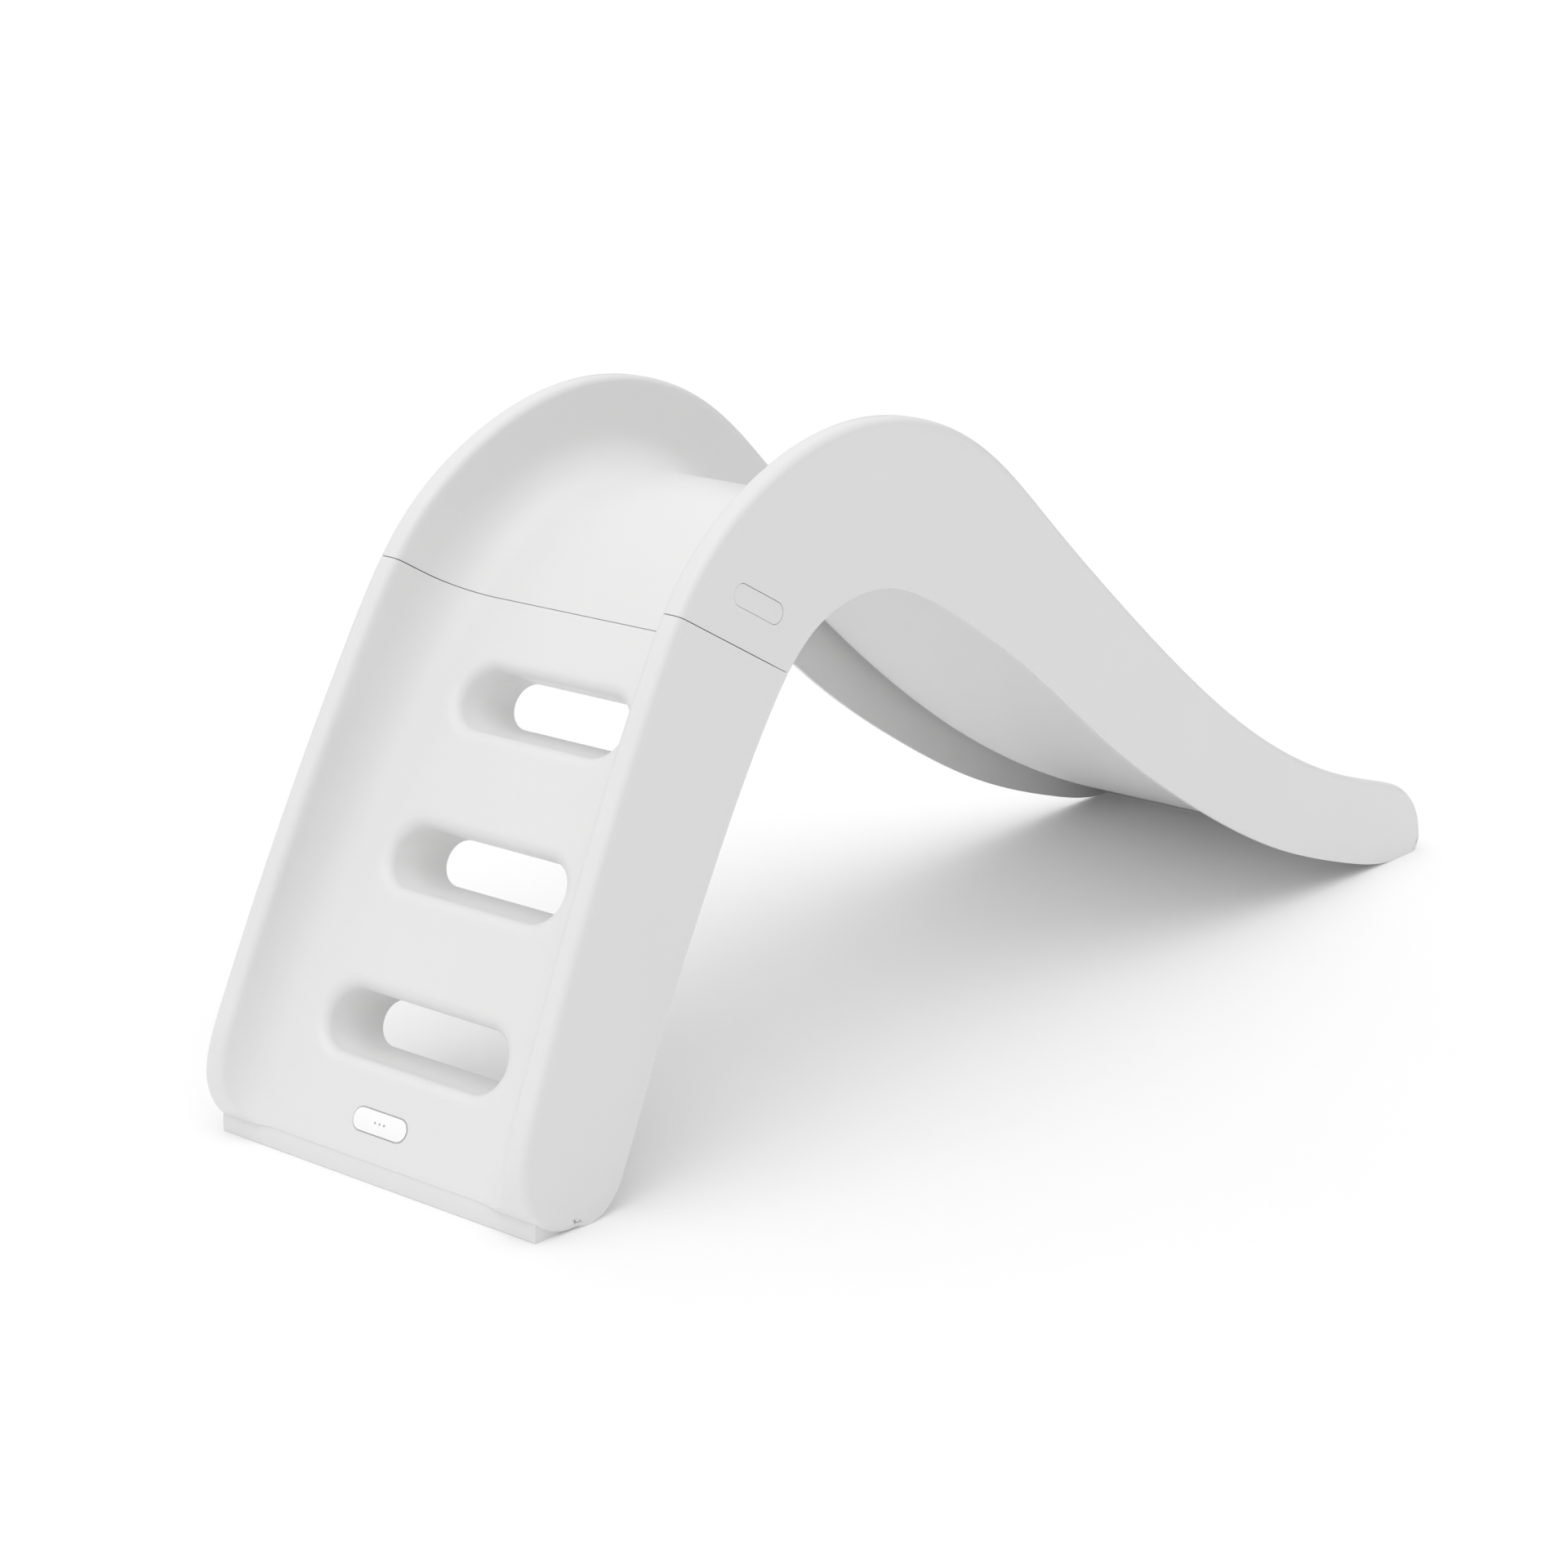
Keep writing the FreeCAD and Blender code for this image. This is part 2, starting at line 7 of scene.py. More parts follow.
# %% Load the frame and read its sizes
import bpy
import bmesh
import math
import numpy as np
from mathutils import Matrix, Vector


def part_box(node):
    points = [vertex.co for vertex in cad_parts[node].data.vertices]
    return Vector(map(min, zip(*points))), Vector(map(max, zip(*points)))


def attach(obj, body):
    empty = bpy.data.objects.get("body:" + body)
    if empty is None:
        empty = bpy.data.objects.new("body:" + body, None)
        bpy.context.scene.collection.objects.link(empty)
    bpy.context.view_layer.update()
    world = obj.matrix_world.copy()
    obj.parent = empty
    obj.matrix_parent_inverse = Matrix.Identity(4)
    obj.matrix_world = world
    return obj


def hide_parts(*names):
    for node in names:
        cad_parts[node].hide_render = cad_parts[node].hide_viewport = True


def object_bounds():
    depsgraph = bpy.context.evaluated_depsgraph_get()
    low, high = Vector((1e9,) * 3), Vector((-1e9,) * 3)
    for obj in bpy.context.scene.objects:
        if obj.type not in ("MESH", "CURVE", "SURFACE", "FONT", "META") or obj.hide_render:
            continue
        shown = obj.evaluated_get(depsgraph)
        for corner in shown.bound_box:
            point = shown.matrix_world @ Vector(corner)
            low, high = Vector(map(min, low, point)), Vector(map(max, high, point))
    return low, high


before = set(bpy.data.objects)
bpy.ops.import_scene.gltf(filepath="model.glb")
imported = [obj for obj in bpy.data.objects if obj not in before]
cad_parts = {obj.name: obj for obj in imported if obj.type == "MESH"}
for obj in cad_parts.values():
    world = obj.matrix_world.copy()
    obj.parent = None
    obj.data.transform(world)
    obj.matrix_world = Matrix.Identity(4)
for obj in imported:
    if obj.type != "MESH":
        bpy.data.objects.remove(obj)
cad_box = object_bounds()
low, high = cad_box
LENGTH, WIDTH, HEIGHT = high - low
print(f"length {LENGTH:.3f} m, width {WIDTH:.3f} m, height {HEIGHT:.3f} m")

# %% [markdown]
# ## Camera, floor and light
# A product like this is shown three-quarter from behind the ladder, slightly from above, with a
# fairly long lens so that the sides stay nearly parallel. The light, at the end of the script, is
# a very wide soft dome with a smaller lamp towards the ladder, in a dim white room. One hard lamp
# would burn out the white bed and leave black shadows.

# %% The camera looks along the slide from the ladder end
VIEW_HEADING = math.radians(40.05)
VIEW_DROP = math.radians(16.58)
VIEW_DISTANCE = 3.797
AIM_OFFSET = Vector((-0.0937, 0.0601, -0.1104))
LENS_MM = 81.24

looking = Vector((
    math.cos(VIEW_HEADING) * math.cos(VIEW_DROP),
    math.sin(VIEW_HEADING) * math.cos(VIEW_DROP),
    -math.sin(VIEW_DROP),
))
camera_data = bpy.data.cameras.new("camera")
camera_data.lens = LENS_MM
camera = bpy.data.objects.new("camera", camera_data)
camera.location = (low + high) / 2 + AIM_OFFSET - looking * VIEW_DISTANCE
camera.rotation_euler = looking.to_track_quat("-Z", "Y").to_euler()
bpy.context.collection.objects.link(camera)
bpy.context.scene.camera = camera
bpy.context.scene.view_settings.view_transform = "Standard"
print("camera at", [round(v, 3) for v in camera.location])


# %% A small class that writes node trees as expressions
class Value:
    """A socket that can be used in sums. Numbers and vectors each go through their own node."""

    def __init__(self, net, socket, vector=False):
        self.net, self.socket, self.vector = net, socket, vector

    def _sum(self, operation, other, swap=False):
        first, second = (other, self) if swap else (self, other)
        vector = self.vector or getattr(other, "vector", False)
        if not vector:
            return self.net.add("ShaderNodeMath", {"operation": operation}, [first, second])
        if operation == "MULTIPLY" and not (self.vector and getattr(other, "vector", False)):
            across, factor = (self, other) if self.vector else (other, self)
            scale = {"operation": "SCALE"}
            return self.net.add("ShaderNodeVectorMath", scale, {0: across, 3: factor}, vector=True)
        return self.net.add("ShaderNodeVectorMath", {"operation": operation}, [first, second], vector=True)

    def __add__(self, other):
        return self._sum("ADD", other)

    def __radd__(self, other):
        return self._sum("ADD", other, True)

    def __sub__(self, other):
        return self._sum("SUBTRACT", other)

    def __rsub__(self, other):
        return self._sum("SUBTRACT", other, True)

    def __mul__(self, other):
        return self._sum("MULTIPLY", other)

    def __rmul__(self, other):
        return self._sum("MULTIPLY", other, True)

    def __truediv__(self, other):
        return self._sum("DIVIDE", other)

    def math(self, operation, other=None):
        values = [self] if other is None else [self, other]
        return self.net.add("ShaderNodeMath", {"operation": operation}, values)


class Net:
    """A node tree with one method that adds any node: its type, its settings, then its inputs."""

    def __init__(self, tree):
        self.tree = tree

    def add_output(self, geometry):
        end = self.tree.nodes.new("NodeGroupOutput")
        self.tree.links.new(geometry.socket, end.inputs[0])

    def add(self, kind, settings=None, inputs=None, output=0, vector=False):
        node = self.tree.nodes.new(kind)
        for name, value in (settings or {}).items():
            setattr(node, name, value)
        pairs = inputs.items() if isinstance(inputs, dict) else enumerate(inputs or [])
        for key, value in pairs:
            socket = node.inputs[key]
            if isinstance(value, Value):
                self.tree.links.new(value.socket, socket)
            else:
                socket.default_value = value
        self.node = node
        return Value(self, node.outputs[output], vector)


# %% [markdown]
# ## The guide lines
# Seen from the side, three lines describe the whole slide: the rim along the top of the side
# walls, the bed that a child slides on, and the foot, which is the lower edge of the side walls.
# They could be drawn as Bezier curves by hand. A smooth curve through a few chosen points is used
# instead, because the same points drive the CAD model and keep both in step.

# %% Sizes of the mouldings, in metres
MM = 0.001
SKIN = 5 * MM
RIM_WIDTH = 25 * MM
COVE = 50 * MM
SIDE_LEAN = math.tan(math.radians(2.2))
SEAM_GAP = 1 * MM
LEG_FRONT_RADIUS = 65 * MM
LEG_BACK_RADIUS = 55 * MM
LEG_FLAT = 14.5 * MM
TOE_FLAT = 36 * MM
NOSE_LIP = 34 * MM
PLINTH_RISE = 22 * MM
PLINTH_DEPTH = 62 * MM
PLINTH_INSET = 7 * MM

# %% Points on the three lines, as shares of the length and height
RIM = [
    (-0.4876, 0.1926), (-0.4452, 0.3991), (-0.3768, 0.6913), (-0.3301, 0.8456), (-0.2608, 0.9534),
    (-0.1659, 1.0), (-0.0539, 0.9253), (0.0150, 0.7956), (0.1274, 0.5703), (0.2086, 0.4229),
    (0.2955, 0.2931), (0.3887, 0.1941), (0.4521, 0.1471),
]
NOSE_SHOULDER = (0.4850, 0.1103)
TOE_TIP_X = 0.4908
UNDERSIDE = [
    (-0.3778, 0.2263), (-0.3408, 0.3762), (-0.2715, 0.6224), (-0.2278, 0.7221), (-0.1598, 0.7547),
    (-0.0850, 0.6828), (-0.0148, 0.5763), (0.0880, 0.3934), (0.1937, 0.2359), (0.2995, 0.1100),
    (0.3915, 0.0344),
]
SILL_X = -0.4876
BED = [
    (-0.4506, 0.2000), (-0.3946, 0.4118), (-0.3347, 0.6162), (-0.2945, 0.7260), (-0.2105, 0.8515),
    (-0.1583, 0.8632), (-0.0844, 0.8081), (-0.0239, 0.6924), (0.0895, 0.4676), (0.2226, 0.2568),
    (0.3717, 0.0926), (0.4360, 0.0471),
]
BED_EXIT = (0.4965, 0.0294)

# The curl of the nose: the directions that its lines start and end in, and steps past the bed's exit
NOSE_START = (0.96, -0.28)
LIP_START, LIP_END = (1, -0.1), (-0.4, -0.9)
EXIT_DROP = (3.5 * MM, -7 * MM)
EXIT_INSET = 3 * MM


def at(share):
    """The side-view point (x, z) at a share of the length and height."""
    return np.array((share[0] * LENGTH, share[1] * HEIGHT))


# %% A smooth line through points, and a path that can be measured and cast onto
def smooth(points, start=None, end=None, samples=24):
    """A curve with continuous curvature through the points, as many short steps."""
    points = np.array(points, float)
    steps = np.linalg.norm(np.diff(points, axis=0), axis=1)
    count = len(points)
    system = np.zeros((count, count))
    right = np.zeros((count, 2))
    for i in range(1, count - 1):
        before, after = steps[i - 1], steps[i]
        system[i, i - 1:i + 2] = after, 2 * (before + after), before
        rise = after * (points[i] - points[i - 1]) / before + before * (points[i + 1] - points[i]) / after
        right[i] = 3 * rise
    system[0, :2] = (1, 0) if start is not None else (2, 1)
    right[0] = start if start is not None else 3 * (points[1] - points[0]) / steps[0]
    system[-1, -2:] = (0, 1) if end is not None else (1, 2)
    right[-1] = end if end is not None else 3 * (points[-1] - points[-2]) / steps[-1]
    slopes = np.linalg.solve(system, right)
    curve = [points[:1]]
    for i in range(count - 1):
        t = np.linspace(0, 1, samples + 1)[1:, None]
        h = steps[i]
        curve.append((2 * t**3 - 3 * t**2 + 1) * points[i] + (t**3 - 2 * t**2 + t) * h * slopes[i]
                     + (3 * t**2 - 2 * t**3) * points[i + 1] + (t**3 - t**2) * h * slopes[i + 1])
    return np.vstack(curve)


def arc(centre, radius, start_angle, end_angle, samples=24):
    """Points round a circle in the side view, between two angles in degrees."""
    angles = np.radians(np.linspace(start_angle, end_angle, samples + 1))
    return np.array(centre) + radius * np.stack([np.cos(angles), np.sin(angles)], 1)


class Path:
    """A fine polyline in the side view, measured by its length."""

    def __init__(self, *stretches):
        points = np.vstack(stretches)
        apart = np.linalg.norm(np.diff(points, axis=0), axis=1)
        self.points = points[np.r_[True, apart > 1e-6]]
        steps = np.linalg.norm(np.diff(self.points, axis=0), axis=1)
        self.where = np.r_[0, np.cumsum(steps)]
        self.length = self.where[-1]

    def at(self, where):
        return np.stack([np.interp(where, self.where, self.points[:, k]) for k in (0, 1)], -1)

    def tangent(self, where, reach=4 * MM):
        ahead = self.at(np.clip(np.asarray(where) + reach, 0, self.length))
        behind = self.at(np.clip(np.asarray(where) - reach, 0, self.length))
        step = ahead - behind
        return step / np.linalg.norm(step, axis=-1, keepdims=True)

    def outward(self, where):
        """The normal on the left of the line, which is the upper side here."""
        along = self.tangent(where)
        return np.stack([-along[..., 1], along[..., 0]], -1)

    def cast(self, origin, direction):
        """Where a straight line from a point first crosses the path, as a length along it."""
        side = np.array((-direction[1], direction[0]))
        off = (self.points - origin) @ side
        ahead = (self.points - origin) @ direction
        hits = []
        for i in np.nonzero(off[:-1] * off[1:] <= 0)[0]:
            share = off[i] / (off[i] - off[i + 1]) if off[i] != off[i + 1] else 0.0
            distance = ahead[i] + share * (ahead[i + 1] - ahead[i])
            if distance > 0:
                hits.append((distance, self.where[i] + share * (self.where[i + 1] - self.where[i])))
        return min(hits)[1]


# %% The rim, bed and foot lines of the whole slide
half = LENGTH / 2
front_centre = np.array((-half + LEG_FRONT_RADIUS, LEG_FRONT_RADIUS))
back_centre = np.array((front_centre[0] + LEG_FLAT, LEG_BACK_RADIUS))
toe_low = np.array((TOE_TIP_X * LENGTH, 0.0))
toe_heel = toe_low - (TOE_FLAT, 0)
nose_tip = np.array((half, NOSE_LIP))
sill = np.array((SILL_X * LENGTH, PLINTH_RISE))

leg_front = front_centre - (LEG_FRONT_RADIUS, 0)
rim_line = smooth([leg_front] + [at(p) for p in RIM], start=(0, 1))
nose_line = smooth([at(RIM[-1]), at(NOSE_SHOULDER), nose_tip, toe_low], start=NOSE_START)
leg_arc = arc(front_centre, LEG_FRONT_RADIUS, 270, 180)
rim_path = Path([(back_centre[0], 0.0)], leg_arc, rim_line, nose_line)

climb = at(UNDERSIDE[1]) - at(UNDERSIDE[0])
climb /= np.linalg.norm(climb)
back_angle = math.degrees(math.atan2(-climb[0], climb[1]))
back_arc = arc(back_centre, LEG_BACK_RADIUS, -90, back_angle)
foot_line = smooth([back_arc[-1]] + [at(p) for p in UNDERSIDE] + [toe_heel], start=climb, end=(1, 0))
foot_path = Path(back_arc, foot_line, [toe_low])

exit_low = toe_low - (EXIT_INSET, 0)
bed_line = smooth([sill] + [at(p) for p in BED] + [at(BED_EXIT)])
lip_line = smooth([at(BED_EXIT), at(BED_EXIT) + EXIT_DROP, exit_low], start=LIP_START, end=LIP_END)
sill_radius = float(np.linalg.norm(sill - front_centre))
sill_angle = math.degrees(math.atan2(*(sill - front_centre)[::-1])) % 360
under_line = arc(front_centre, sill_radius, 270, sill_angle)
bed_path = Path([(back_centre[0], front_centre[1] - sill_radius)], under_line, bed_line, lip_line)
sill_on_bed = bed_path.where[np.argmin(np.linalg.norm(bed_path.points - sill, axis=1))]
print(f"rim {rim_path.length:.3f} m, bed {bed_path.length:.3f} m, foot {foot_path.length:.3f} m")

# %% [markdown]
# ## Stations along the lines
# A moulding is described by cross-sections, one at each station. Every station needs a rim point,
# a bed point and a foot point that belong together. Evenly spaced shares of each line would lean
# the sections over, so a few anchors are found by casting the rim's normal across the moulding,
# and the stations between them are shared out evenly. Under the tight bend next to the seam the casts
# cross each other, so the foot points are evened out afterwards.

# %% The seam between the two mouldings
SEAM_POINT = at((-0.3462, 0.7924))
SEAM_SLOPE = math.radians(29)
SEAM_ALONG = np.array((math.cos(SEAM_SLOPE), -math.sin(SEAM_SLOPE)))
SEAM_UP = np.array((math.sin(SEAM_SLOPE), math.cos(SEAM_SLOPE)))
CAST_BACK = 60 * MM
BLEND_REACH = 90 * MM
STATION_STEP = 4.6 * MM
EVEN_REACH = 6
CAST_START = 30 * MM
HEEL_SHARE = 0.6


def on_seam(offset):
    """A point on the seam's face of one moulding, just outside the rim."""
    return SEAM_POINT + SEAM_UP * offset - SEAM_ALONG * CAST_BACK


def evened(places):
    """The same places without any step backwards, so that no two sections cross."""
    forward = np.maximum.accumulate(places)
    backward = np.minimum.accumulate(places[::-1])[::-1]
    padded = np.pad((forward + backward) / 2, EVEN_REACH, mode="reflect", reflect_type="odd")
    span = 2 * EVEN_REACH + 1
    return np.convolve(padded, np.full(span, 1 / span), mode="valid")


def stations(rim_from, rim_to, seam_at_start, cast_until, ends):
    """Matching lengths on the rim, bed and foot lines, one row for each cross-section."""
    count = int((rim_to - rim_from) / STATION_STEP)
    rim = np.linspace(rim_from, rim_to, count + 1)
    seam_where = rim_from if seam_at_start else rim_to
    rows = []
    for where in rim:
        inside = where <= cast_until if seam_at_start else where >= cast_until
        if not inside:
            continue
        pull = np.clip(1 - abs(where - seam_where) / BLEND_REACH, 0, 1)
        pull = pull * pull * (3 - 2 * pull)
        direction = -rim_path.outward(where) * (1 - pull) + SEAM_ALONG * pull
        direction /= np.linalg.norm(direction)
        origin = rim_path.at(where)
        rows.append((where, bed_path.cast(origin, direction), foot_path.cast(origin, direction)))
    rows = np.array(sorted(rows + list(ends)))
    bed, foot = (np.interp(rim, rows[:, 0], rows[:, k]) for k in (1, 2))
    return np.stack([rim, bed, evened(foot)], 1)


# %% Stations of the ladder, from under the leg up to the seam
rim_seam_low = rim_path.cast(on_seam(-SEAM_GAP / 2), SEAM_ALONG)
rim_seam_high = rim_path.cast(on_seam(SEAM_GAP / 2), SEAM_ALONG)
arc_end = LEG_FLAT + LEG_FRONT_RADIUS * math.pi / 2
sill_turn = math.acos((front_centre[1] - PLINTH_RISE) / LEG_FRONT_RADIUS)
sill_where = LEG_FLAT + LEG_FRONT_RADIUS * sill_turn
foot_at_arc = foot_path.cast(rim_path.at(arc_end), np.array((1.0, 0.0)))
ladder_rows = stations(0.0, rim_seam_low, False, arc_end + CAST_START, [
    (0.0, 0.0, 0.0),
    (sill_where, sill_on_bed, foot_at_arc * sill_where / arc_end),
])

# %% Stations of the chute, from the seam down to the toe
nose_where = rim_path.where[np.argmin(np.linalg.norm(rim_path.points - nose_tip, axis=1))]
exit_where = bed_path.where[np.argmin(np.linalg.norm(bed_path.points - at(BED_EXIT), axis=1))]
heel_where = foot_path.where[np.argmin(np.linalg.norm(foot_path.points - toe_heel, axis=1))]
cast_end = rim_path.where[np.argmin(np.linalg.norm(rim_path.points - at(RIM[-1]), axis=1))]
chute_rows = stations(rim_seam_high, rim_path.length, True, cast_end, [
    (nose_where, exit_where, heel_where + TOE_FLAT * HEEL_SHARE),
    (rim_path.length, bed_path.length, foot_path.length),
])
print(f"{len(ladder_rows)} ladder stations, {len(chute_rows)} chute stations")
print("seam rows", ladder_rows[-1].round(4), chute_rows[0].round(4))

# %% [markdown]
# ## The section rule
# The two shells follow one rule, so one Geometry Nodes tree makes both. Side to side, a section is
# an outer plate, a rounded rim, an inner wall, a cove and a flat bed, mirrored. Where the channel
# is shallower than its own cove, at the sill and the nose, the arcs stop early at a smaller turn,
# as they do when a round cutter leaves a block. Modelling it by hand would lose that rule, and a
# swept profile could not change its depth. The tree reads two small meshes: a spine with one
# vertex for each station, and a section with one vertex for each column of the finished grid.

# %% The columns of a section: which zone each one is in, and how far through it
PLATE, OUTER, INNER, WALL, COVE_ZONE, BED_ZONE = range(6)
ZONE_STEPS = ((PLATE, 14), (OUTER, 6), (INNER, 6), (WALL, 7), (COVE_ZONE, 12), (BED_ZONE, 25))


def section_columns():
    """Zone, share and side for every column, from the near plate to the far plate."""
    near = []
    for zone, steps in ZONE_STEPS:
        first = 0 if zone in (PLATE, INNER) else 1
        last = steps if zone == BED_ZONE else steps + 1
        near += [(zone, i / steps, -1) for i in range(first, last)]
    far = [(zone, share, 1) for zone, share, side in reversed(near)]
    return near + [(BED_ZONE, 1.0, 1)] + far


def points_mesh(name, columns):
    """A mesh of loose vertices that carries named numbers or vectors."""
    count = len(next(iter(columns.values())))
    mesh = bpy.data.meshes.new(name)
    mesh.from_pydata([(0, 0, 0)] * count, [], [])
    for key, values in columns.items():
        values = np.asarray(values, np.float32)
        kind, field = ("FLOAT_VECTOR", "vector") if values.ndim == 2 else ("FLOAT", "value")
        mesh.attributes.new(key, kind, "POINT").data.foreach_set(field, values.ravel())
    made = bpy.data.objects.new(name, mesh)
    bpy.context.collection.objects.link(made)
    return made


columns = section_columns()
section = points_mesh("section", {
    "zone": [c[0] for c in columns], "share": [c[1] for c in columns], "side": [c[2] for c in columns],
})
print(len(columns), "columns in a section")


# %% The Geometry Nodes tree that skins a spine with the section
def new_geometry_tree(name, inputs):
    """A tree with a geometry input and output, plus named inputs. Returns it with its values."""
    tree = bpy.data.node_groups.new(name, "GeometryNodeTree")
    tree.interface.new_socket("Geometry", in_out="INPUT", socket_type="NodeSocketGeometry")
    for label, kind in inputs:
        tree.interface.new_socket(label, in_out="INPUT", socket_type=kind)
    tree.interface.new_socket("Geometry", in_out="OUTPUT", socket_type="NodeSocketGeometry")
    net = Net(tree)
    net.add("NodeGroupInput")
    source = net.node
    values = {s.name: Value(net, s, s.type == "VECTOR") for s in source.outputs if s.name}
    return net, values


def finish_tree(net, geometry, material):
    """Realize Instances, Set Material, and the group's output."""
    real = net.add("GeometryNodeRealizeInstances", {}, [geometry])
    finished = net.add("GeometryNodeSetMaterial", {}, {"Geometry": real, "Material": material})
    net.add_output(finished)


def shell_tree():
    net, given = new_geometry_tree("moulding_shell", [
        ("Section", "NodeSocketObject"), ("Width", "NodeSocketFloat"), ("Rim Width", "NodeSocketFloat"),
        ("Cove Radius", "NodeSocketFloat"), ("Lip Radius", "NodeSocketFloat"),
        ("Lean", "NodeSocketFloat"), ("Material", "NodeSocketMaterial"),
    ])
    spine = given["Geometry"]
    profile = net.add("GeometryNodeObjectInfo", {}, {"Object": given["Section"]}, output="Geometry")

    def count(geometry):
        component = {"component": "MESH"}
        return net.add("GeometryNodeAttributeDomainSize", component, [geometry], output="Point Count")

    rows, across = count(spine), count(profile)
    grid = net.add("GeometryNodeMeshGrid", {}, {"Vertices X": rows, "Vertices Y": across})
    index = net.add("GeometryNodeInputIndex")
    station = (index / across).math("FLOOR")
    column = index.math("MODULO", across)

    def read(geometry, name, place, kind="FLOAT"):
        named = net.add("GeometryNodeInputNamedAttribute", {"data_type": kind}, {"Name": name})
        return net.add(
            "GeometryNodeSampleIndex", {"data_type": kind, "domain": "POINT"},
            {"Geometry": geometry, "Value": named, "Index": place}, vector=kind == "FLOAT_VECTOR",
        )

    rim, bed, foot, toward = (
        read(spine, n, station, "FLOAT_VECTOR") for n in ("rim", "bed", "foot", "toward"))
    depth, lip = read(spine, "depth", station), read(spine, "lip", station) * given["Lip Radius"]
    zone, share, side = (read(profile, n, column) for n in ("zone", "share", "side"))
    cove, edge, lean = given["Cove Radius"], given["Width"] * 0.5, given["Lean"]
    cove_start = edge - given["Rim Width"] - cove

    turn = (1.0 - (depth / (cove + lip))).math("MAXIMUM", 0.0).math("ARCCOSINE")
    wall = cove_start + cove * turn.math("SINE")
    rise = 1.0 - turn.math("COSINE")
    quarter = share * (math.pi / 2)
    inner_turn = share * turn
    cove_turn = (1.0 - share) * turn

    def between(a, b, factor):
        return net.add(
            "ShaderNodeMix", {"data_type": "VECTOR"}, {0: factor, 4: a, 5: b}, output=1, vector=True)

    places = [
        between(foot, rim - toward * lip, share),
        rim - toward * (lip * (1.0 - quarter.math("SINE"))),
        rim - toward * (lip * (1.0 - inner_turn.math("COSINE"))),
        between(rim - toward * (lip * rise), bed + toward * (cove * rise), share),
        bed + toward * (cove * (1.0 - cove_turn.math("COSINE"))),
        bed,
    ]
    offsets = [
        edge,
        edge - lip * (1.0 - quarter.math("COSINE")),
        wall + lip * (turn.math("SINE") - inner_turn.math("SINE")),
        wall,
        cove_start + cove * cove_turn.math("SINE"),
        cove_start,
    ]

    def choose(kind, items):
        node = net.tree.nodes.new("GeometryNodeIndexSwitch")
        node.data_type = kind
        for _ in range(len(items) - 2):
            node.index_switch_items.new()
        net.tree.links.new(zone.socket, node.inputs[0])
        for i, item in enumerate(items):
            net.tree.links.new(item.socket, node.inputs[i + 1])
        return Value(net, node.outputs[0], kind == "VECTOR")

    place = choose("VECTOR", places)
    net.add("ShaderNodeSeparateXYZ", {}, [place])
    parts = [Value(net, s) for s in net.node.outputs]
    is_bed = net.add("ShaderNodeMath", {"operation": "GREATER_THAN"}, [zone, BED_ZONE - 0.5])
    spread = side * (1.0 - is_bed * share)
    y = spread * (choose("FLOAT", offsets) - lean * parts[2])
    position = net.add("ShaderNodeCombineXYZ", {}, [parts[0], y, parts[2]], vector=True)
    skin = net.add("GeometryNodeSetPosition", {}, {"Geometry": grid, "Position": position})
    smooth_skin = net.add("GeometryNodeSetShadeSmooth", {}, [skin])
    finish_tree(net, smooth_skin, given["Material"])
    return net.tree


def run_tree(made, tree, values):
    """Run a tree on an object with its named inputs, and keep the result as a plain mesh."""
    modifier = made.modifiers.new("rule", "NODES")
    modifier.node_group = tree
    for item in tree.interface.items_tree:
        if item.in_out == "INPUT" and item.name in values:
            modifier[item.identifier] = values[item.name]
    graph = bpy.context.evaluated_depsgraph_get()
    mesh = bpy.data.meshes.new_from_object(made.evaluated_get(graph))
    made.modifiers.remove(modifier)
    made.data = mesh
    return made


# %% Turn the station rows into spines
PLATE_SHARE = 0.4
LIP_RADIUS = 8.5 * MM
THIN_BELOW = 60 * MM
THINNEST = 0.9


def spine_of(name, rows):
    """The spine mesh of a shell: rim, bed and foot points, with the section's direction and depth."""
    rim, bed, foot = rim_path.at(rows[:, 0]), bed_path.at(rows[:, 1]), foot_path.at(rows[:, 2])
    across = rim - bed
    depth = np.linalg.norm(across, axis=1)
    toward = across / depth[:, None]
    tall = np.linalg.norm(rim - foot, axis=1)
    full_lip = np.clip(PLATE_SHARE * tall / LIP_RADIUS, 0, 1)

    def flat(points):
        return np.stack([points[:, 0], 0 * points[:, 0], points[:, 1]], 1)

    return points_mesh(name, {
        "rim": flat(rim), "bed": flat(bed), "foot": flat(foot), "toward": flat(toward),
        "depth": depth, "lip": full_lip,
    })


skin_tree = shell_tree()
plastic = bpy.data.materials.new("moulding")
shells = {}
for name, rows in (("ladder", ladder_rows), ("chute", chute_rows)):
    shells[name] = run_tree(spine_of(name, rows), skin_tree, {
        "Section": section, "Width": WIDTH, "Rim Width": RIM_WIDTH, "Cove Radius": COVE,
        "Lip Radius": LIP_RADIUS, "Lean": SIDE_LEAN, "Material": plastic,
    })
    shells[name].name = name
    tall = np.linalg.norm(rim_path.at(rows[:, 0]) - foot_path.at(rows[:, 2]), axis=1)
    thin = shells[name].vertex_groups.new(name="thin")
    for row in np.nonzero(tall < THIN_BELOW)[0]:
        members = range(row * len(columns), (row + 1) * len(columns))
        thin.add(list(members), float(1 - tall[row] / THIN_BELOW) * THINNEST, "REPLACE")
    print(name, "skin", len(shells[name].data.vertices), "vertices")
bpy.data.objects.remove(section)

# %% [markdown]
# ## Rung slots
# Each slot is a pill-shaped tunnel with a soft lip. Cutting it with a boolean would leave a hard
# edge and broken shading on the panel, so the panel's grid is opened around each slot and joined
# to rings that follow the pill: flat panel, rolled lip, then a tunnel that narrows to the back
# and rises a little on its way.

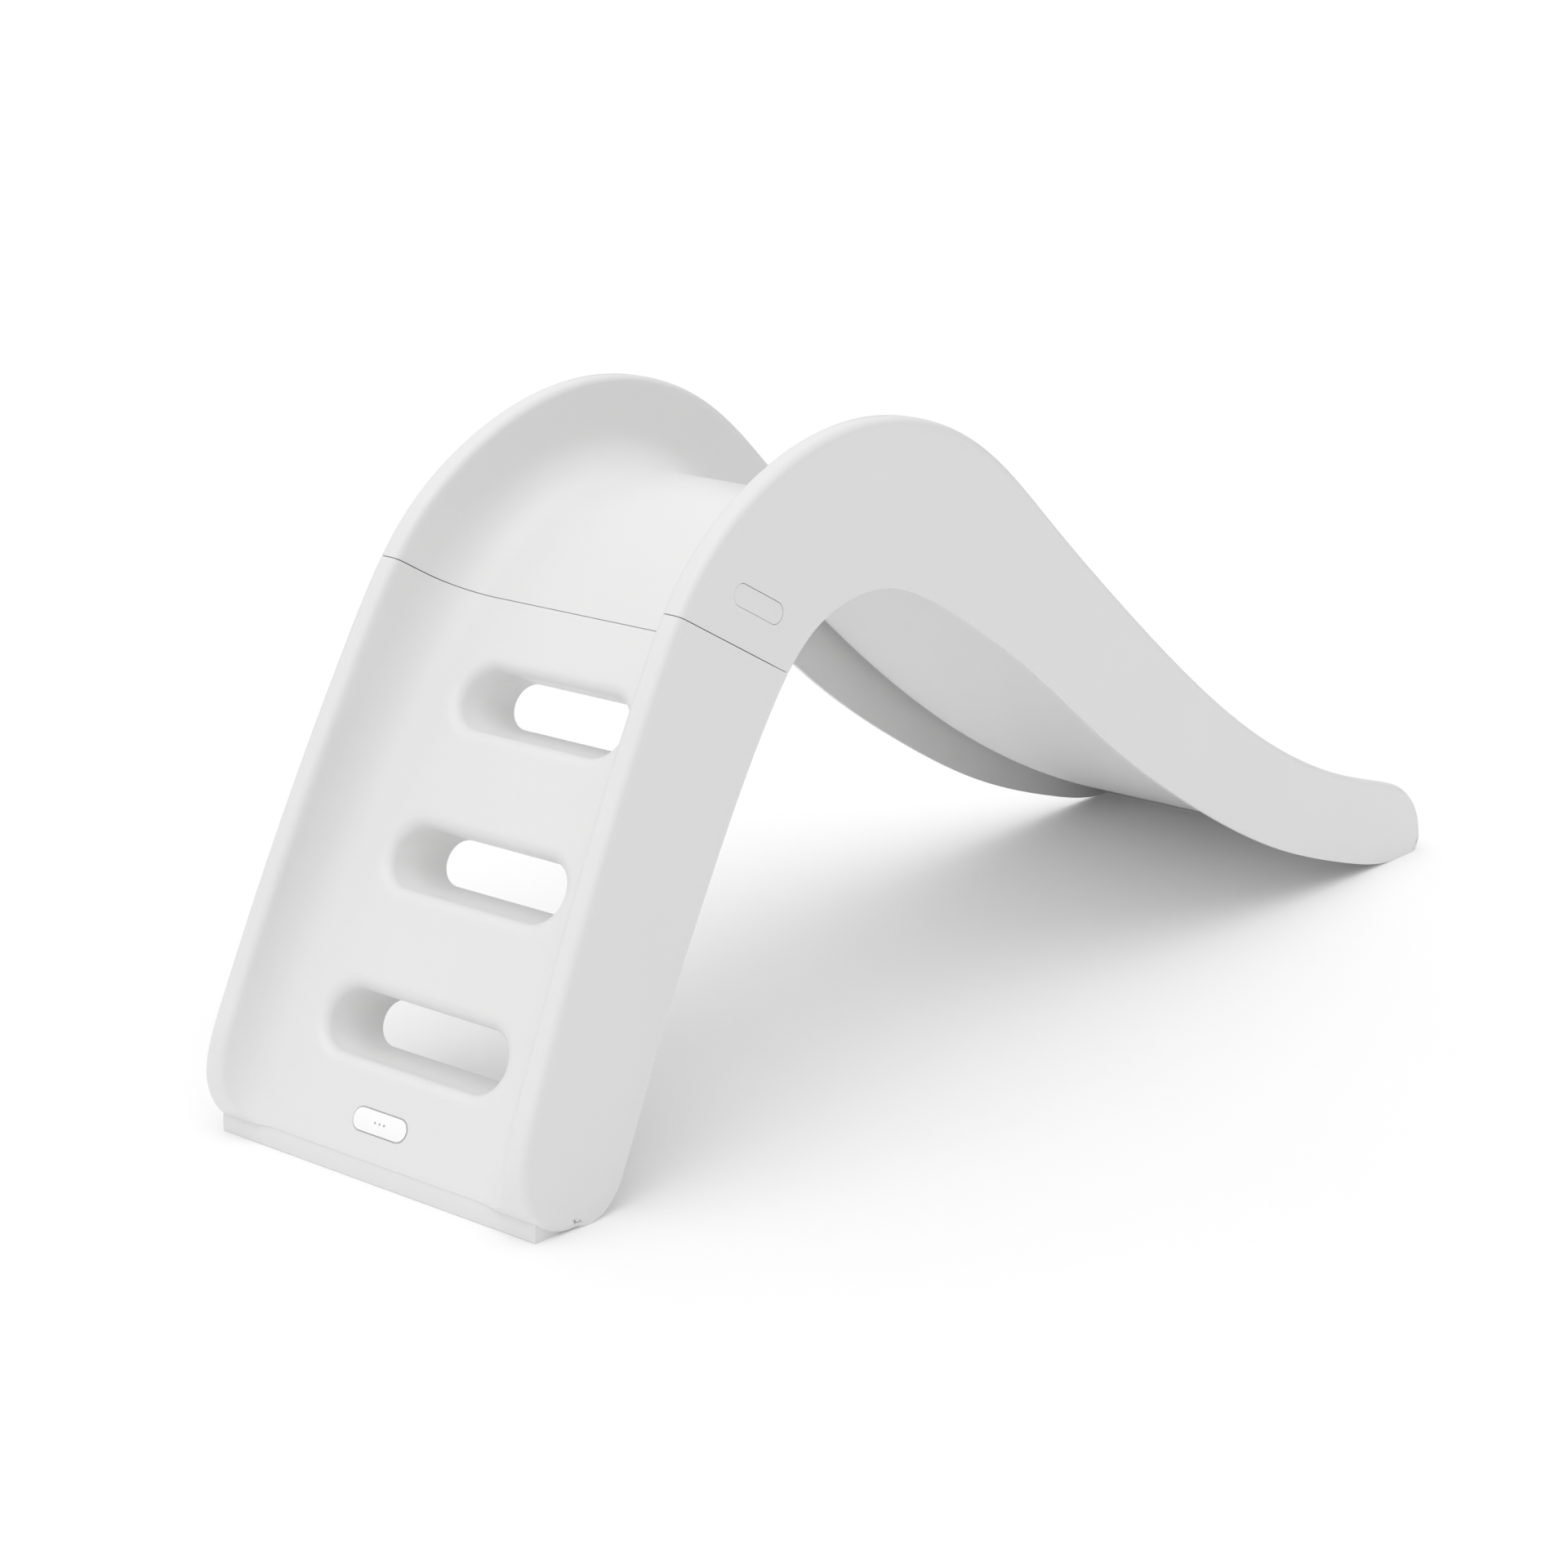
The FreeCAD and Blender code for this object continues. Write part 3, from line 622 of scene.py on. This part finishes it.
# %% Sizes and places of the slots
RUNG_TILT = math.radians(28.5)
SLOT_HEIGHT = 47.5 * MM
SLOT_MARGIN = 110 * MM
SLOT_DEPTH = 65 * MM
SLOT_RISE = 10.5 * MM
FLARE_LENGTH, FLARE_HEIGHT = 14 * MM, 7.5 * MM
SLOT_LIP = 13 * MM
RUNG_PITCH = 166.4 * MM
MIDDLE_SLOT = at((-0.3968, 0.4023))
LIP_STEPS, TUNNEL_STEPS, APRON_STEPS = 9, 5, 3
OPENING_MARGIN = 6 * MM
PANEL_PAST_SEAM = 150 * MM
tunnel_axis = np.array((math.cos(RUNG_TILT), -math.sin(RUNG_TILT)))
tunnel_up = np.array((math.sin(RUNG_TILT), math.cos(RUNG_TILT)))
ladder_side = bed_path.points[:, 0] < SEAM_POINT[0] + PANEL_PAST_SEAM
panel = bed_path.points[ladder_side & (bed_path.points[:, 1] > PLINTH_RISE)]


def from_spine(y, t, straight):
    """The nearest point of a pill's spine to a panel point, and the direction away from it."""
    spine_y = float(np.clip(y, -straight, straight))
    away = np.array((y - spine_y, t))
    return spine_y, away / np.linalg.norm(away)


def open_slot(bm, rows, grid, centre):
    """Replace a rectangle of the panel's grid by a lipped tunnel round a centre (x, z)."""
    back_half = WIDTH / 2 - SLOT_MARGIN - SIDE_LEAN * centre[1]
    half_length = back_half + FLARE_LENGTH
    back_radius = SLOT_HEIGHT / 2
    radius = back_radius + FLARE_HEIGHT
    straight = half_length - radius
    narrowing = (back_half - back_radius) / straight
    panel_t = (panel - centre) @ tunnel_up
    panel_depth = (panel - centre) @ tunnel_axis
    bed_t = (bed_path.at(rows[:, 1]) - centre) @ tunnel_up
    tall = radius + SLOT_LIP + OPENING_MARGIN
    inside = np.nonzero((np.abs(bed_t) < tall) & (rows[:, 1] > sill_on_bed))[0]
    first, last = inside[0] - 1, inside[-1] + 1
    row_mid = grid[(first + last) // 2]
    reach = [abs(row_mid[c].co.y) < half_length + SLOT_LIP + OPENING_MARGIN for c in range(grid.shape[1])]
    flat = [c for c in range(grid.shape[1]) if reach[c]]
    left, right = flat[0] - 1, flat[-1] + 1
    loop = [grid[first, c] for c in range(left, right)]
    loop += [grid[r, right] for r in range(first, last)]
    loop += [grid[last, c] for c in range(right, left, -1)]
    loop += [grid[r, left] for r in range(last, first, -1)]
    block = {v for v in grid[first:last + 1, left:right + 1].ravel()}
    doomed = [f for f in bm.faces if all(v in block for v in f.verts)]
    bmesh.ops.delete(bm, geom=doomed, context="FACES")

    starts = []
    for v in loop:
        t = (v.co.x - centre[0]) * tunnel_up[0] + (v.co.z - centre[1]) * tunnel_up[1]
        starts.append((v.co.y, t, *from_spine(v.co.y, t, straight)))

    def ring(offset, depth, blend, pull=1.0):
        """Vertices at an offset outside the pill and a depth behind the panel."""
        made = []
        for y, t, spine_y, away in starts:
            front = np.array((spine_y, 0.0)) + away * (radius + offset)
            back = np.array((spine_y * narrowing, SLOT_RISE)) + away * back_radius
            target = front * (1 - blend) + back * blend
            y_now, t_now = np.array((y, t)) * (1 - pull) + target * pull
            surface = float(np.interp(t_now, panel_t, panel_depth))
            behind = surface * (1 - blend) + depth
            x, z = centre + tunnel_up * t_now + tunnel_axis * behind
            made.append(bm.verts.new((x, y_now, z)))
        return made

    rings = [loop]
    rings += [ring(SLOT_LIP, 0, 0, pull=k / APRON_STEPS) for k in range(1, APRON_STEPS + 1)]
    for k in range(1, LIP_STEPS + 1):
        turn = math.pi / 2 * k / LIP_STEPS
        rings.append(ring(SLOT_LIP * (1 - math.sin(turn)), SLOT_LIP * (1 - math.cos(turn)), 0))
    for k in range(1, TUNNEL_STEPS + 1):
        share = k / TUNNEL_STEPS
        rings.append(ring(0, SLOT_LIP + (SLOT_DEPTH - SLOT_LIP) * share, share))
    for outer, inner in zip(rings, rings[1:]):
        for i in range(len(outer)):
            j = (i + 1) % len(outer)
            face = bm.faces.new((outer[i], outer[j], inner[j], inner[i]))
            face.smooth = True
    return len(loop)


# %% Open the three slots in the ladder's panel
ladder = shells["ladder"]
bm = bmesh.new()
bm.from_mesh(ladder.data)
bm.verts.ensure_lookup_table()
grid = np.array(list(bm.verts), object).reshape(len(ladder_rows), len(columns))
middle_where = bed_path.where[np.argmin(np.linalg.norm(bed_path.points - MIDDLE_SLOT, axis=1))]
middle_point = bed_path.at(middle_where)
from_middle = np.linalg.norm(bed_path.points - middle_point, axis=1)
for step in (-1, 0, 1):
    beyond = (np.sign(bed_path.where - middle_where) == step) & (from_middle >= RUNG_PITCH * abs(step))
    nearest = np.nonzero(beyond)[0]
    centre = middle_point if step == 0 else bed_path.points[nearest[-1] if step < 0 else nearest[0]]
    print("slot at", centre.round(4), "ring of", open_slot(bm, ladder_rows, grid, centre), "vertices")
bm.to_mesh(ladder.data)
bm.free()

# %% [markdown]
# ## Wall thickness
# Both mouldings are hollow shells, open underneath, about 5 mm thick. The skins are thickened
# inwards so that the outside keeps the frame's sizes. The wall gets thinner where a section
# closes on the floor, because there the two sides of the shell meet. The few points that still
# fold outwards there are put back on the side planes.

# %% Give the skins their thickness
CREASE = math.radians(38)


def face_up(made, sign_of):
    """Turn every face the same way, with the given face pointing up."""
    bm = bmesh.new()
    bm.from_mesh(made.data)
    bmesh.ops.remove_doubles(bm, verts=bm.verts, dist=0.02 * MM)
    bmesh.ops.recalc_face_normals(bm, faces=bm.faces)
    top = max(bm.faces, key=sign_of)
    if top.normal.z < 0:
        bmesh.ops.reverse_faces(bm, faces=bm.faces)
    bm.to_mesh(made.data)
    bm.free()


def apply_modifier(made, name, kind, **settings):
    """Add a modifier with its settings and keep its result as the object's mesh."""
    modifier = made.modifiers.new(name, kind)
    for key, value in settings.items():
        setattr(modifier, key, value)
    graph = bpy.context.evaluated_depsgraph_get()
    mesh = bpy.data.meshes.new_from_object(made.evaluated_get(graph))
    made.modifiers.clear()
    made.data = mesh


def crease(made):
    """Smooth shading with edges kept sharp where two faces turn by more than the crease angle."""
    bm = bmesh.new()
    bm.from_mesh(made.data)
    for face in bm.faces:
        face.smooth = True
    for edge in bm.edges:
        edge.smooth = edge.calc_face_angle(math.pi) < CREASE
    bm.to_mesh(made.data)
    bm.free()


for made in shells.values():
    face_up(made, lambda f: f.calc_center_median().z)
    apply_modifier(made, "wall", "SOLIDIFY", thickness=SKIN, offset=-1.0,
                   vertex_group="thin", invert_vertex_group=True)
    for v in made.data.vertices:
        reach = WIDTH / 2 - SIDE_LEAN * v.co.z
        v.co.y = min(max(v.co.y, -reach), reach)
    print(made.name, "shell", len(made.data.polygons), "faces")

# %% [markdown]
# ## Small solids from the frame
# Keys, badge and pads are simple solids that the frame already places. Each one is rebuilt from
# the frame's own box with softened edges, so that its highlight reads as moulded and not as cut.

# %% A pill or block in a frame node's own place
PILL_STEPS = 20
OUTWARD_WEIGHTS = (0.3, 1, 0)


def own_axes(node):
    """Centre, axes and sizes of a node, longest axis first, measured from the frame's mesh."""
    points = np.array([v.co for v in bpy.data.objects[node].data.vertices])
    rough = points.mean(0)
    axes = np.linalg.svd(points - rough, full_matrices=False)[2]
    reach = (points - rough) @ axes.T
    sizes = np.ptp(reach, axis=0)
    centre = rough + ((reach.max(0) + reach.min(0)) / 2) @ axes
    order = np.argsort(-sizes)
    return centre, axes[order], sizes[order]


def pill_outline(length, height, steps=PILL_STEPS):
    """Points round a pill, in its own plane."""
    radius = height / 2
    straight = length / 2 - radius
    turn = np.linspace(-math.pi / 2, math.pi / 2, steps + 1)
    right = np.stack([straight + radius * np.cos(turn), radius * np.sin(turn)], 1)
    return np.vstack([right, -right])


def stack(name, outline, centre, axes, layers):
    """A closed solid from scaled copies of an outline: each layer is (inset, height)."""
    bm = bmesh.new()
    size = np.ptp(outline, axis=0)
    rings = []
    for inset, height in layers:
        scaled = outline * (1 - 2 * inset / size)
        placed = centre + scaled[:, :1] * axes[0] + scaled[:, 1:] * axes[1] + height * axes[2]
        rings.append([bm.verts.new(p) for p in placed])
    for low_ring, high_ring in zip(rings, rings[1:]):
        for i in range(len(low_ring)):
            j = (i + 1) % len(low_ring)
            bm.faces.new((low_ring[i], low_ring[j], high_ring[j], high_ring[i]))
    bm.faces.new(rings[0][::-1])
    bm.faces.new(rings[-1])
    bmesh.ops.recalc_face_normals(bm, faces=bm.faces)
    mesh = bpy.data.meshes.new(name)
    bm.to_mesh(mesh)
    bm.free()
    made = bpy.data.objects.new(name, mesh)
    bpy.context.collection.objects.link(made)
    return made


def soft_layers(thickness, edge, steps=3):
    """Layers of a slab with rounded edges on both faces."""
    turns = [math.pi / 2 * k / steps for k in range(steps + 1)]
    lower = [(edge * (1 - math.sin(t)), -thickness / 2 + edge * (1 - math.cos(t))) for t in turns]
    return lower + [(inset, -height) for inset, height in reversed(lower)]


def pill_solid(name, node, edge):
    centre, axes, sizes = own_axes(node)
    return stack(name, pill_outline(sizes[0], sizes[1]), centre, axes, soft_layers(sizes[2], edge))


def pill_cutter(node, gap, proud):
    """A plain pill round a node, wider by a gap and longer through its thin direction."""
    centre, axes, sizes = own_axes(node)
    outline = pill_outline(sizes[0] + 2 * gap, sizes[1] + 2 * gap)
    outward = axes[2] * (1 if axes[2] @ (centre * OUTWARD_WEIGHTS) > 0 else -1)
    depth = sizes[2] / 2
    turned = np.array((axes[0], axes[1], outward))
    return stack(node + "_cutter", outline, centre, turned, [(0, -depth), (0, proud)])


def box_solid(name, lowest, highest, edge=0.0):
    """A box between two corners with rounded edges."""
    bm = bmesh.new()
    bmesh.ops.create_cube(bm, size=1)
    lowest, highest = np.array(lowest), np.array(highest)
    for v in bm.verts:
        v.co = (lowest + highest) / 2 + np.array(v.co) * (highest - lowest)
    if edge:
        bmesh.ops.bevel(bm, geom=list(bm.edges), offset=edge, segments=3, affect="EDGES", profile=0.5)
    mesh = bpy.data.meshes.new(name)
    bm.to_mesh(mesh)
    bm.free()
    made = bpy.data.objects.new(name, mesh)
    bpy.context.collection.objects.link(made)
    return made


def carve(made, cutters, operation="DIFFERENCE"):
    """Take cutters away from a piece, or add them to it, one at a time."""
    for cutter in cutters:
        apply_modifier(made, "carve", "BOOLEAN", operation=operation, object=cutter, solver="EXACT")
        bpy.data.objects.remove(cutter)


# %% [markdown]
# ## Soles, lugs and lock holes
# The ladder stands on a plinth that spans its two legs, and the chute on a strip behind its nose.
# Inside each side wall a flat lug reaches from the ladder up into the chute, and a key locks it.

# %% Plinth, toe strip and lugs
SOFT_EDGE = 1.5 * MM
PLINTH_BLEND = 20 * MM
PLINTH_PROUD = 0.6 * MM
LUG_START, LUG_WIDTH, LUG_REACH, LUG_ROOT = 35 * MM, 115 * MM, 80 * MM, 60 * MM
FIT_GAP = 0.6 * MM
PAD_GAP = 0.3 * MM
KEY_GAP = 0.4 * MM
BADGE_GAP = 0.3 * MM
KEY_CUT, BADGE_CUT = 20 * MM, 12 * MM
half_width = WIDTH / 2

panel_foot = bed_path.at(sill_on_bed + PLINTH_BLEND)
panel_lean = bed_path.tangent(sill_on_bed + PLINTH_BLEND)
front_x = sill[0] - PLINTH_PROUD
bend = np.array((front_x, panel_foot[1] - panel_lean[1] * (panel_foot[0] - front_x) / panel_lean[0]))
straight_top = np.array((front_x, PLINTH_RISE / 2))
profile = [(sill[0] + PLINTH_DEPTH, 0), (front_x + MM, 0), (front_x, MM)]
for share in np.linspace(0, 1, 11):
    profile.append((1 - share) ** 2 * straight_top + 2 * share * (1 - share) * bend + share**2 * panel_foot)
profile += [panel_foot + (2 * SKIN, 0), (sill[0] + PLINTH_DEPTH, PLINTH_RISE)]
profile = np.array([tuple(p) for p in profile])
plinth = stack(
    "plinth", profile, np.zeros(3), np.array(((1.0, 0, 0), (0, 0, 1.0), (0, 1.0, 0))),
    [(0.0, -half_width + PLINTH_INSET), (0.0, half_width - PLINTH_INSET)])
toe_strip = box_solid(
    "toe_strip", (toe_heel[0], -half_width + SKIN / 2, 0),
    (toe_low[0] - SKIN / 2, half_width - SKIN / 2, SKIN), MM / 2)


def lug(side):
    """A flat tongue that lies inside one side wall and leans with it."""
    inner, outer = RIM_WIDTH - SKIN - FIT_GAP, SKIN + FIT_GAP
    corners = []
    for inset in (inner, outer):
        for along, up in ((0, -LUG_ROOT), (LUG_WIDTH, -LUG_ROOT), (LUG_WIDTH, LUG_REACH), (0, LUG_REACH)):
            x, z = SEAM_POINT + SEAM_ALONG * (LUG_START + along) + SEAM_UP * up
            corners.append((x, side * (half_width - inset - SIDE_LEAN * z), z))
    bm = bmesh.new()
    made = [bm.verts.new(c) for c in corners]
    bmesh.ops.convex_hull(bm, input=made)
    bmesh.ops.dissolve_limit(bm, angle_limit=0.01, verts=bm.verts, edges=bm.edges)
    bmesh.ops.bevel(bm, geom=list(bm.edges), offset=SOFT_EDGE, segments=2, affect="EDGES", profile=0.5)
    bmesh.ops.recalc_face_normals(bm, faces=bm.faces)
    mesh = bpy.data.meshes.new("lug")
    bm.to_mesh(mesh)
    bm.free()
    tongue = bpy.data.objects.new("lug", mesh)
    bpy.context.collection.objects.link(tongue)
    return tongue


def pad_pocket(node):
    low_corner, high_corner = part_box(node)
    grow = Vector((PAD_GAP, PAD_GAP, 0))
    return box_solid(node + "_pocket", low_corner - grow - Vector((0, 0, MM)), high_corner + grow)


def join(name, parts):
    """Parts of one moulding as one mesh."""
    bm = bmesh.new()
    for part in parts:
        bm.from_mesh(part.data)
        if part is not parts[0]:
            bpy.data.objects.remove(part)
    bm.to_mesh(parts[0].data)
    bm.free()
    parts[0].name = name
    return parts[0]


for end, block in (("leg", plinth), ("toe", toe_strip)):
    carve(block, [pad_pocket(f"{end}_pad_{side}") for side in ("left", "right")])
lugs = [lug(-1), lug(1)]
for locked in lugs + [shells["chute"]]:
    carve(locked, [pill_cutter(f"lock_key_{name}", KEY_GAP, KEY_CUT) for name in ("left", "right")])
carve(shells["ladder"], [pill_cutter("badge_plate", BADGE_GAP, BADGE_CUT)])
ladder = join("ladder_moulding", [shells["ladder"], plinth] + lugs)
chute = join("chute_moulding", [shells["chute"], toe_strip])
for made in (ladder, chute):
    crease(made)
    print(made.name, len(made.data.polygons), "faces")

# %% Keys, badge and pads
KEY_EDGE, BADGE_EDGE, PAD_EDGE = 0.9 * MM, 0.5 * MM, 0.6 * MM
pieces = []
for side in ("left", "right"):
    key = pill_solid(f"lock_key_{side}_cap", f"lock_key_{side}", KEY_EDGE)
    pieces.append((key, f"key_{side}", f"lock_key_{side}", "key"))
badge = pill_solid("badge_cap", "badge_plate", BADGE_EDGE)
pieces.append((badge, "slide", "badge_plate", "badge"))
pieces.append((ladder, "slide", "ladder_shell", "moulding"))
pieces.append((chute, "slide", "chute_shell", "moulding"))
for end in ("leg", "toe"):
    for side in ("left", "right"):
        node = f"{end}_pad_{side}"
        pad = box_solid(node + "_rubber", *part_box(node), edge=PAD_EDGE)
        pieces.append((pad, "slide", node, "pad"))

# %% [markdown]
# ## Finishes
# The mouldings are satin white polyethylene: almost neutral, slightly uneven in colour, with the
# fine pebbled skin that a rotational mould leaves. A smooth gloss plastic would look wrong on the
# big curves, and a strong texture would be too coarse for a part that a child slides on. The badge
# is a glossy pill with three plain printed dots, a fine grey line of painted shade round its edge
# where the gap's shadow falls, and a faint painted glow, all worked out from its own shape.

# %% Materials
# The width of the grey line of painted shade along the badge's edge, where the shadow of its gap falls
BADGE_SHADE_LINE, DOT_PITCH, DOT_RADIUS = 0.9 * MM, 6 * MM, 1.3 * MM
# Painted light: a faint glow that brightens the badge, which gives off no light of its own
BADGE_PAINTED_LIGHT = 0.05


def material(name, build, made=None):
    made = made or bpy.data.materials.new(name)
    made.use_nodes = True
    made.node_tree.nodes.clear()
    net = Net(made.node_tree)
    coordinates = net.add("ShaderNodeTexCoord", output="Object", vector=True)
    shader = build(net, coordinates)
    end = made.node_tree.nodes.new("ShaderNodeOutputMaterial")
    made.node_tree.links.new(shader.socket, end.inputs["Surface"])
    return made


def noise(net, coordinates, scale, detail=3.0):
    return net.add("ShaderNodeTexNoise", {}, {"Vector": coordinates, "Scale": scale, "Detail": detail})


def mix_colour(net, factor, first, second):
    return net.add("ShaderNodeMix", {"data_type": "RGBA"}, {0: factor, 6: first, 7: second}, output=2)


def bump(net, height, distance, strength=1.0):
    return net.add("ShaderNodeBump", {}, {"Strength": strength, "Distance": distance, "Height": height})


def satin_white(net, coordinates):
    broad = noise(net, coordinates, 6.0)
    fine = noise(net, coordinates, 900.0, 2.0)
    drawn = noise(net, coordinates, 45.0, 4.0)
    colour = mix_colour(net, broad, (0.80, 0.80, 0.798, 1), (0.83, 0.83, 0.828, 1))
    roughness = 0.40 + 0.10 * (drawn - 0.5) + 0.05 * (broad - 0.5)
    height = 0.00006 * fine + 0.00012 * drawn
    return net.add("ShaderNodeBsdfPrincipled", {}, {
        "Base Color": colour, "Roughness": roughness, "Normal": bump(net, height, 1.0), "IOR": 1.5,
    })


def badge_white(net, coordinates):
    """Gloss white, a grey line of painted shade at the edge, three printed dots, a faint painted glow."""
    centre, axes, sizes = own_axes("badge_plate")
    away = coordinates - tuple(centre)

    def along(axis):
        dot = {"operation": "DOT_PRODUCT"}
        return net.add("ShaderNodeVectorMath", dot, [away, tuple(axis)], output="Value")

    def distance(x, y):
        return (x * x + y * y).math("SQRT")

    x, y = along(axes[0]), along(axes[1])
    radius = float(sizes[1]) / 2
    beyond = (x.math("ABSOLUTE") - (float(sizes[0]) / 2 - radius)).math("MAXIMUM", 0.0)
    # Painted shade: a grey line along the badge's edge where its gap's shadow falls; the three dots are
    # printed marks
    dots_and_shade_line = (radius - distance(beyond, y)).math("LESS_THAN", BADGE_SHADE_LINE)
    for place in (-1, 0, 1):
        dots_and_shade_line = dots_and_shade_line.math("MAXIMUM", distance(x - place * DOT_PITCH, y).math("LESS_THAN", DOT_RADIUS))
    broad = noise(net, coordinates, 20.0)
    white = mix_colour(net, broad, (0.93, 0.93, 0.93, 1), (0.96, 0.96, 0.96, 1))
    return net.add("ShaderNodeBsdfPrincipled", {}, {
        # The grey is painted shade on the edge line and printed colour on the dots
        "Base Color": mix_colour(net, dots_and_shade_line, white, (0.42, 0.42, 0.42, 1)),
        "Roughness": 0.25 + 0.06 * (broad - 0.5),
        "Normal": bump(net, 0.00004 * noise(net, coordinates, 400.0), 1.0),
        # Painted light: the badge glows faintly to look brighter
        "Emission Color": (1, 1, 1, 1), "Emission Strength": BADGE_PAINTED_LIGHT,
    })


def rubber(net, coordinates):
    broad = noise(net, coordinates, 30.0)
    grain = noise(net, coordinates, 1200.0, 4.0)
    colour = mix_colour(net, broad, (0.36, 0.36, 0.36, 1), (0.42, 0.42, 0.42, 1))
    roughness = 0.75 + 0.15 * (grain - 0.5)
    return net.add("ShaderNodeBsdfPrincipled", {}, {
        "Base Color": colour, "Roughness": roughness, "Normal": bump(net, 0.0002 * grain, 1.0),
    })


finishes = {
    "moulding": material("moulding", satin_white, plastic),
    "key": material("key", satin_white),
    "badge": material("badge", badge_white),
    "pad": material("pad", rubber),
}
for made, body, node, finish in pieces:
    made.data.materials.clear()
    made.data.materials.append(finishes[finish])
    if made not in (ladder, chute):
        crease(made)
    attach(made, body)
    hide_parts(node)

# %% Floor and light: each lamp has an energy, a spread in degrees and the direction it comes from
FLOOR_SIZE = 80.0
FLOOR_GLOW = 0.07
ROOM_LIGHT = 0.2
LAMPS = {
    "dome": (2.0, 150.0, (-0.05, 0.1, 1.0)),
    "front": (0.72, 60.0, (-0.35, -0.1, 1.0)),
}


def floor_paper(net, coordinates):
    broad = noise(net, coordinates, 1.5)
    colour = mix_colour(net, broad, (0.90, 0.90, 0.90, 1), (0.92, 0.92, 0.92, 1))
    return net.add("ShaderNodeBsdfPrincipled", {}, {
        "Base Color": colour, "Roughness": 0.9, "Specular IOR Level": 0.0,
        "Emission Color": (1, 1, 1, 1), "Emission Strength": FLOOR_GLOW,
    })


bpy.ops.mesh.primitive_plane_add(size=FLOOR_SIZE, location=(0, 0, low.z))
floor = bpy.context.object
floor.name = "floor"
floor.data.materials.append(material("floor", floor_paper))

world = bpy.data.worlds.new("room")
bpy.context.scene.world = world
world.use_nodes = True
world.node_tree.nodes["Background"].inputs["Color"].default_value = (1, 1, 1, 1)
world.node_tree.nodes["Background"].inputs["Strength"].default_value = ROOM_LIGHT

for name, (energy, spread, origin) in LAMPS.items():
    lamp_data = bpy.data.lights.new(name, "SUN")
    lamp_data.energy = energy
    lamp_data.angle = math.radians(spread)
    lamp = bpy.data.objects.new(name, lamp_data)
    lamp.rotation_euler = Vector(origin).to_track_quat("Z", "Y").to_euler()
    bpy.context.collection.objects.link(lamp)
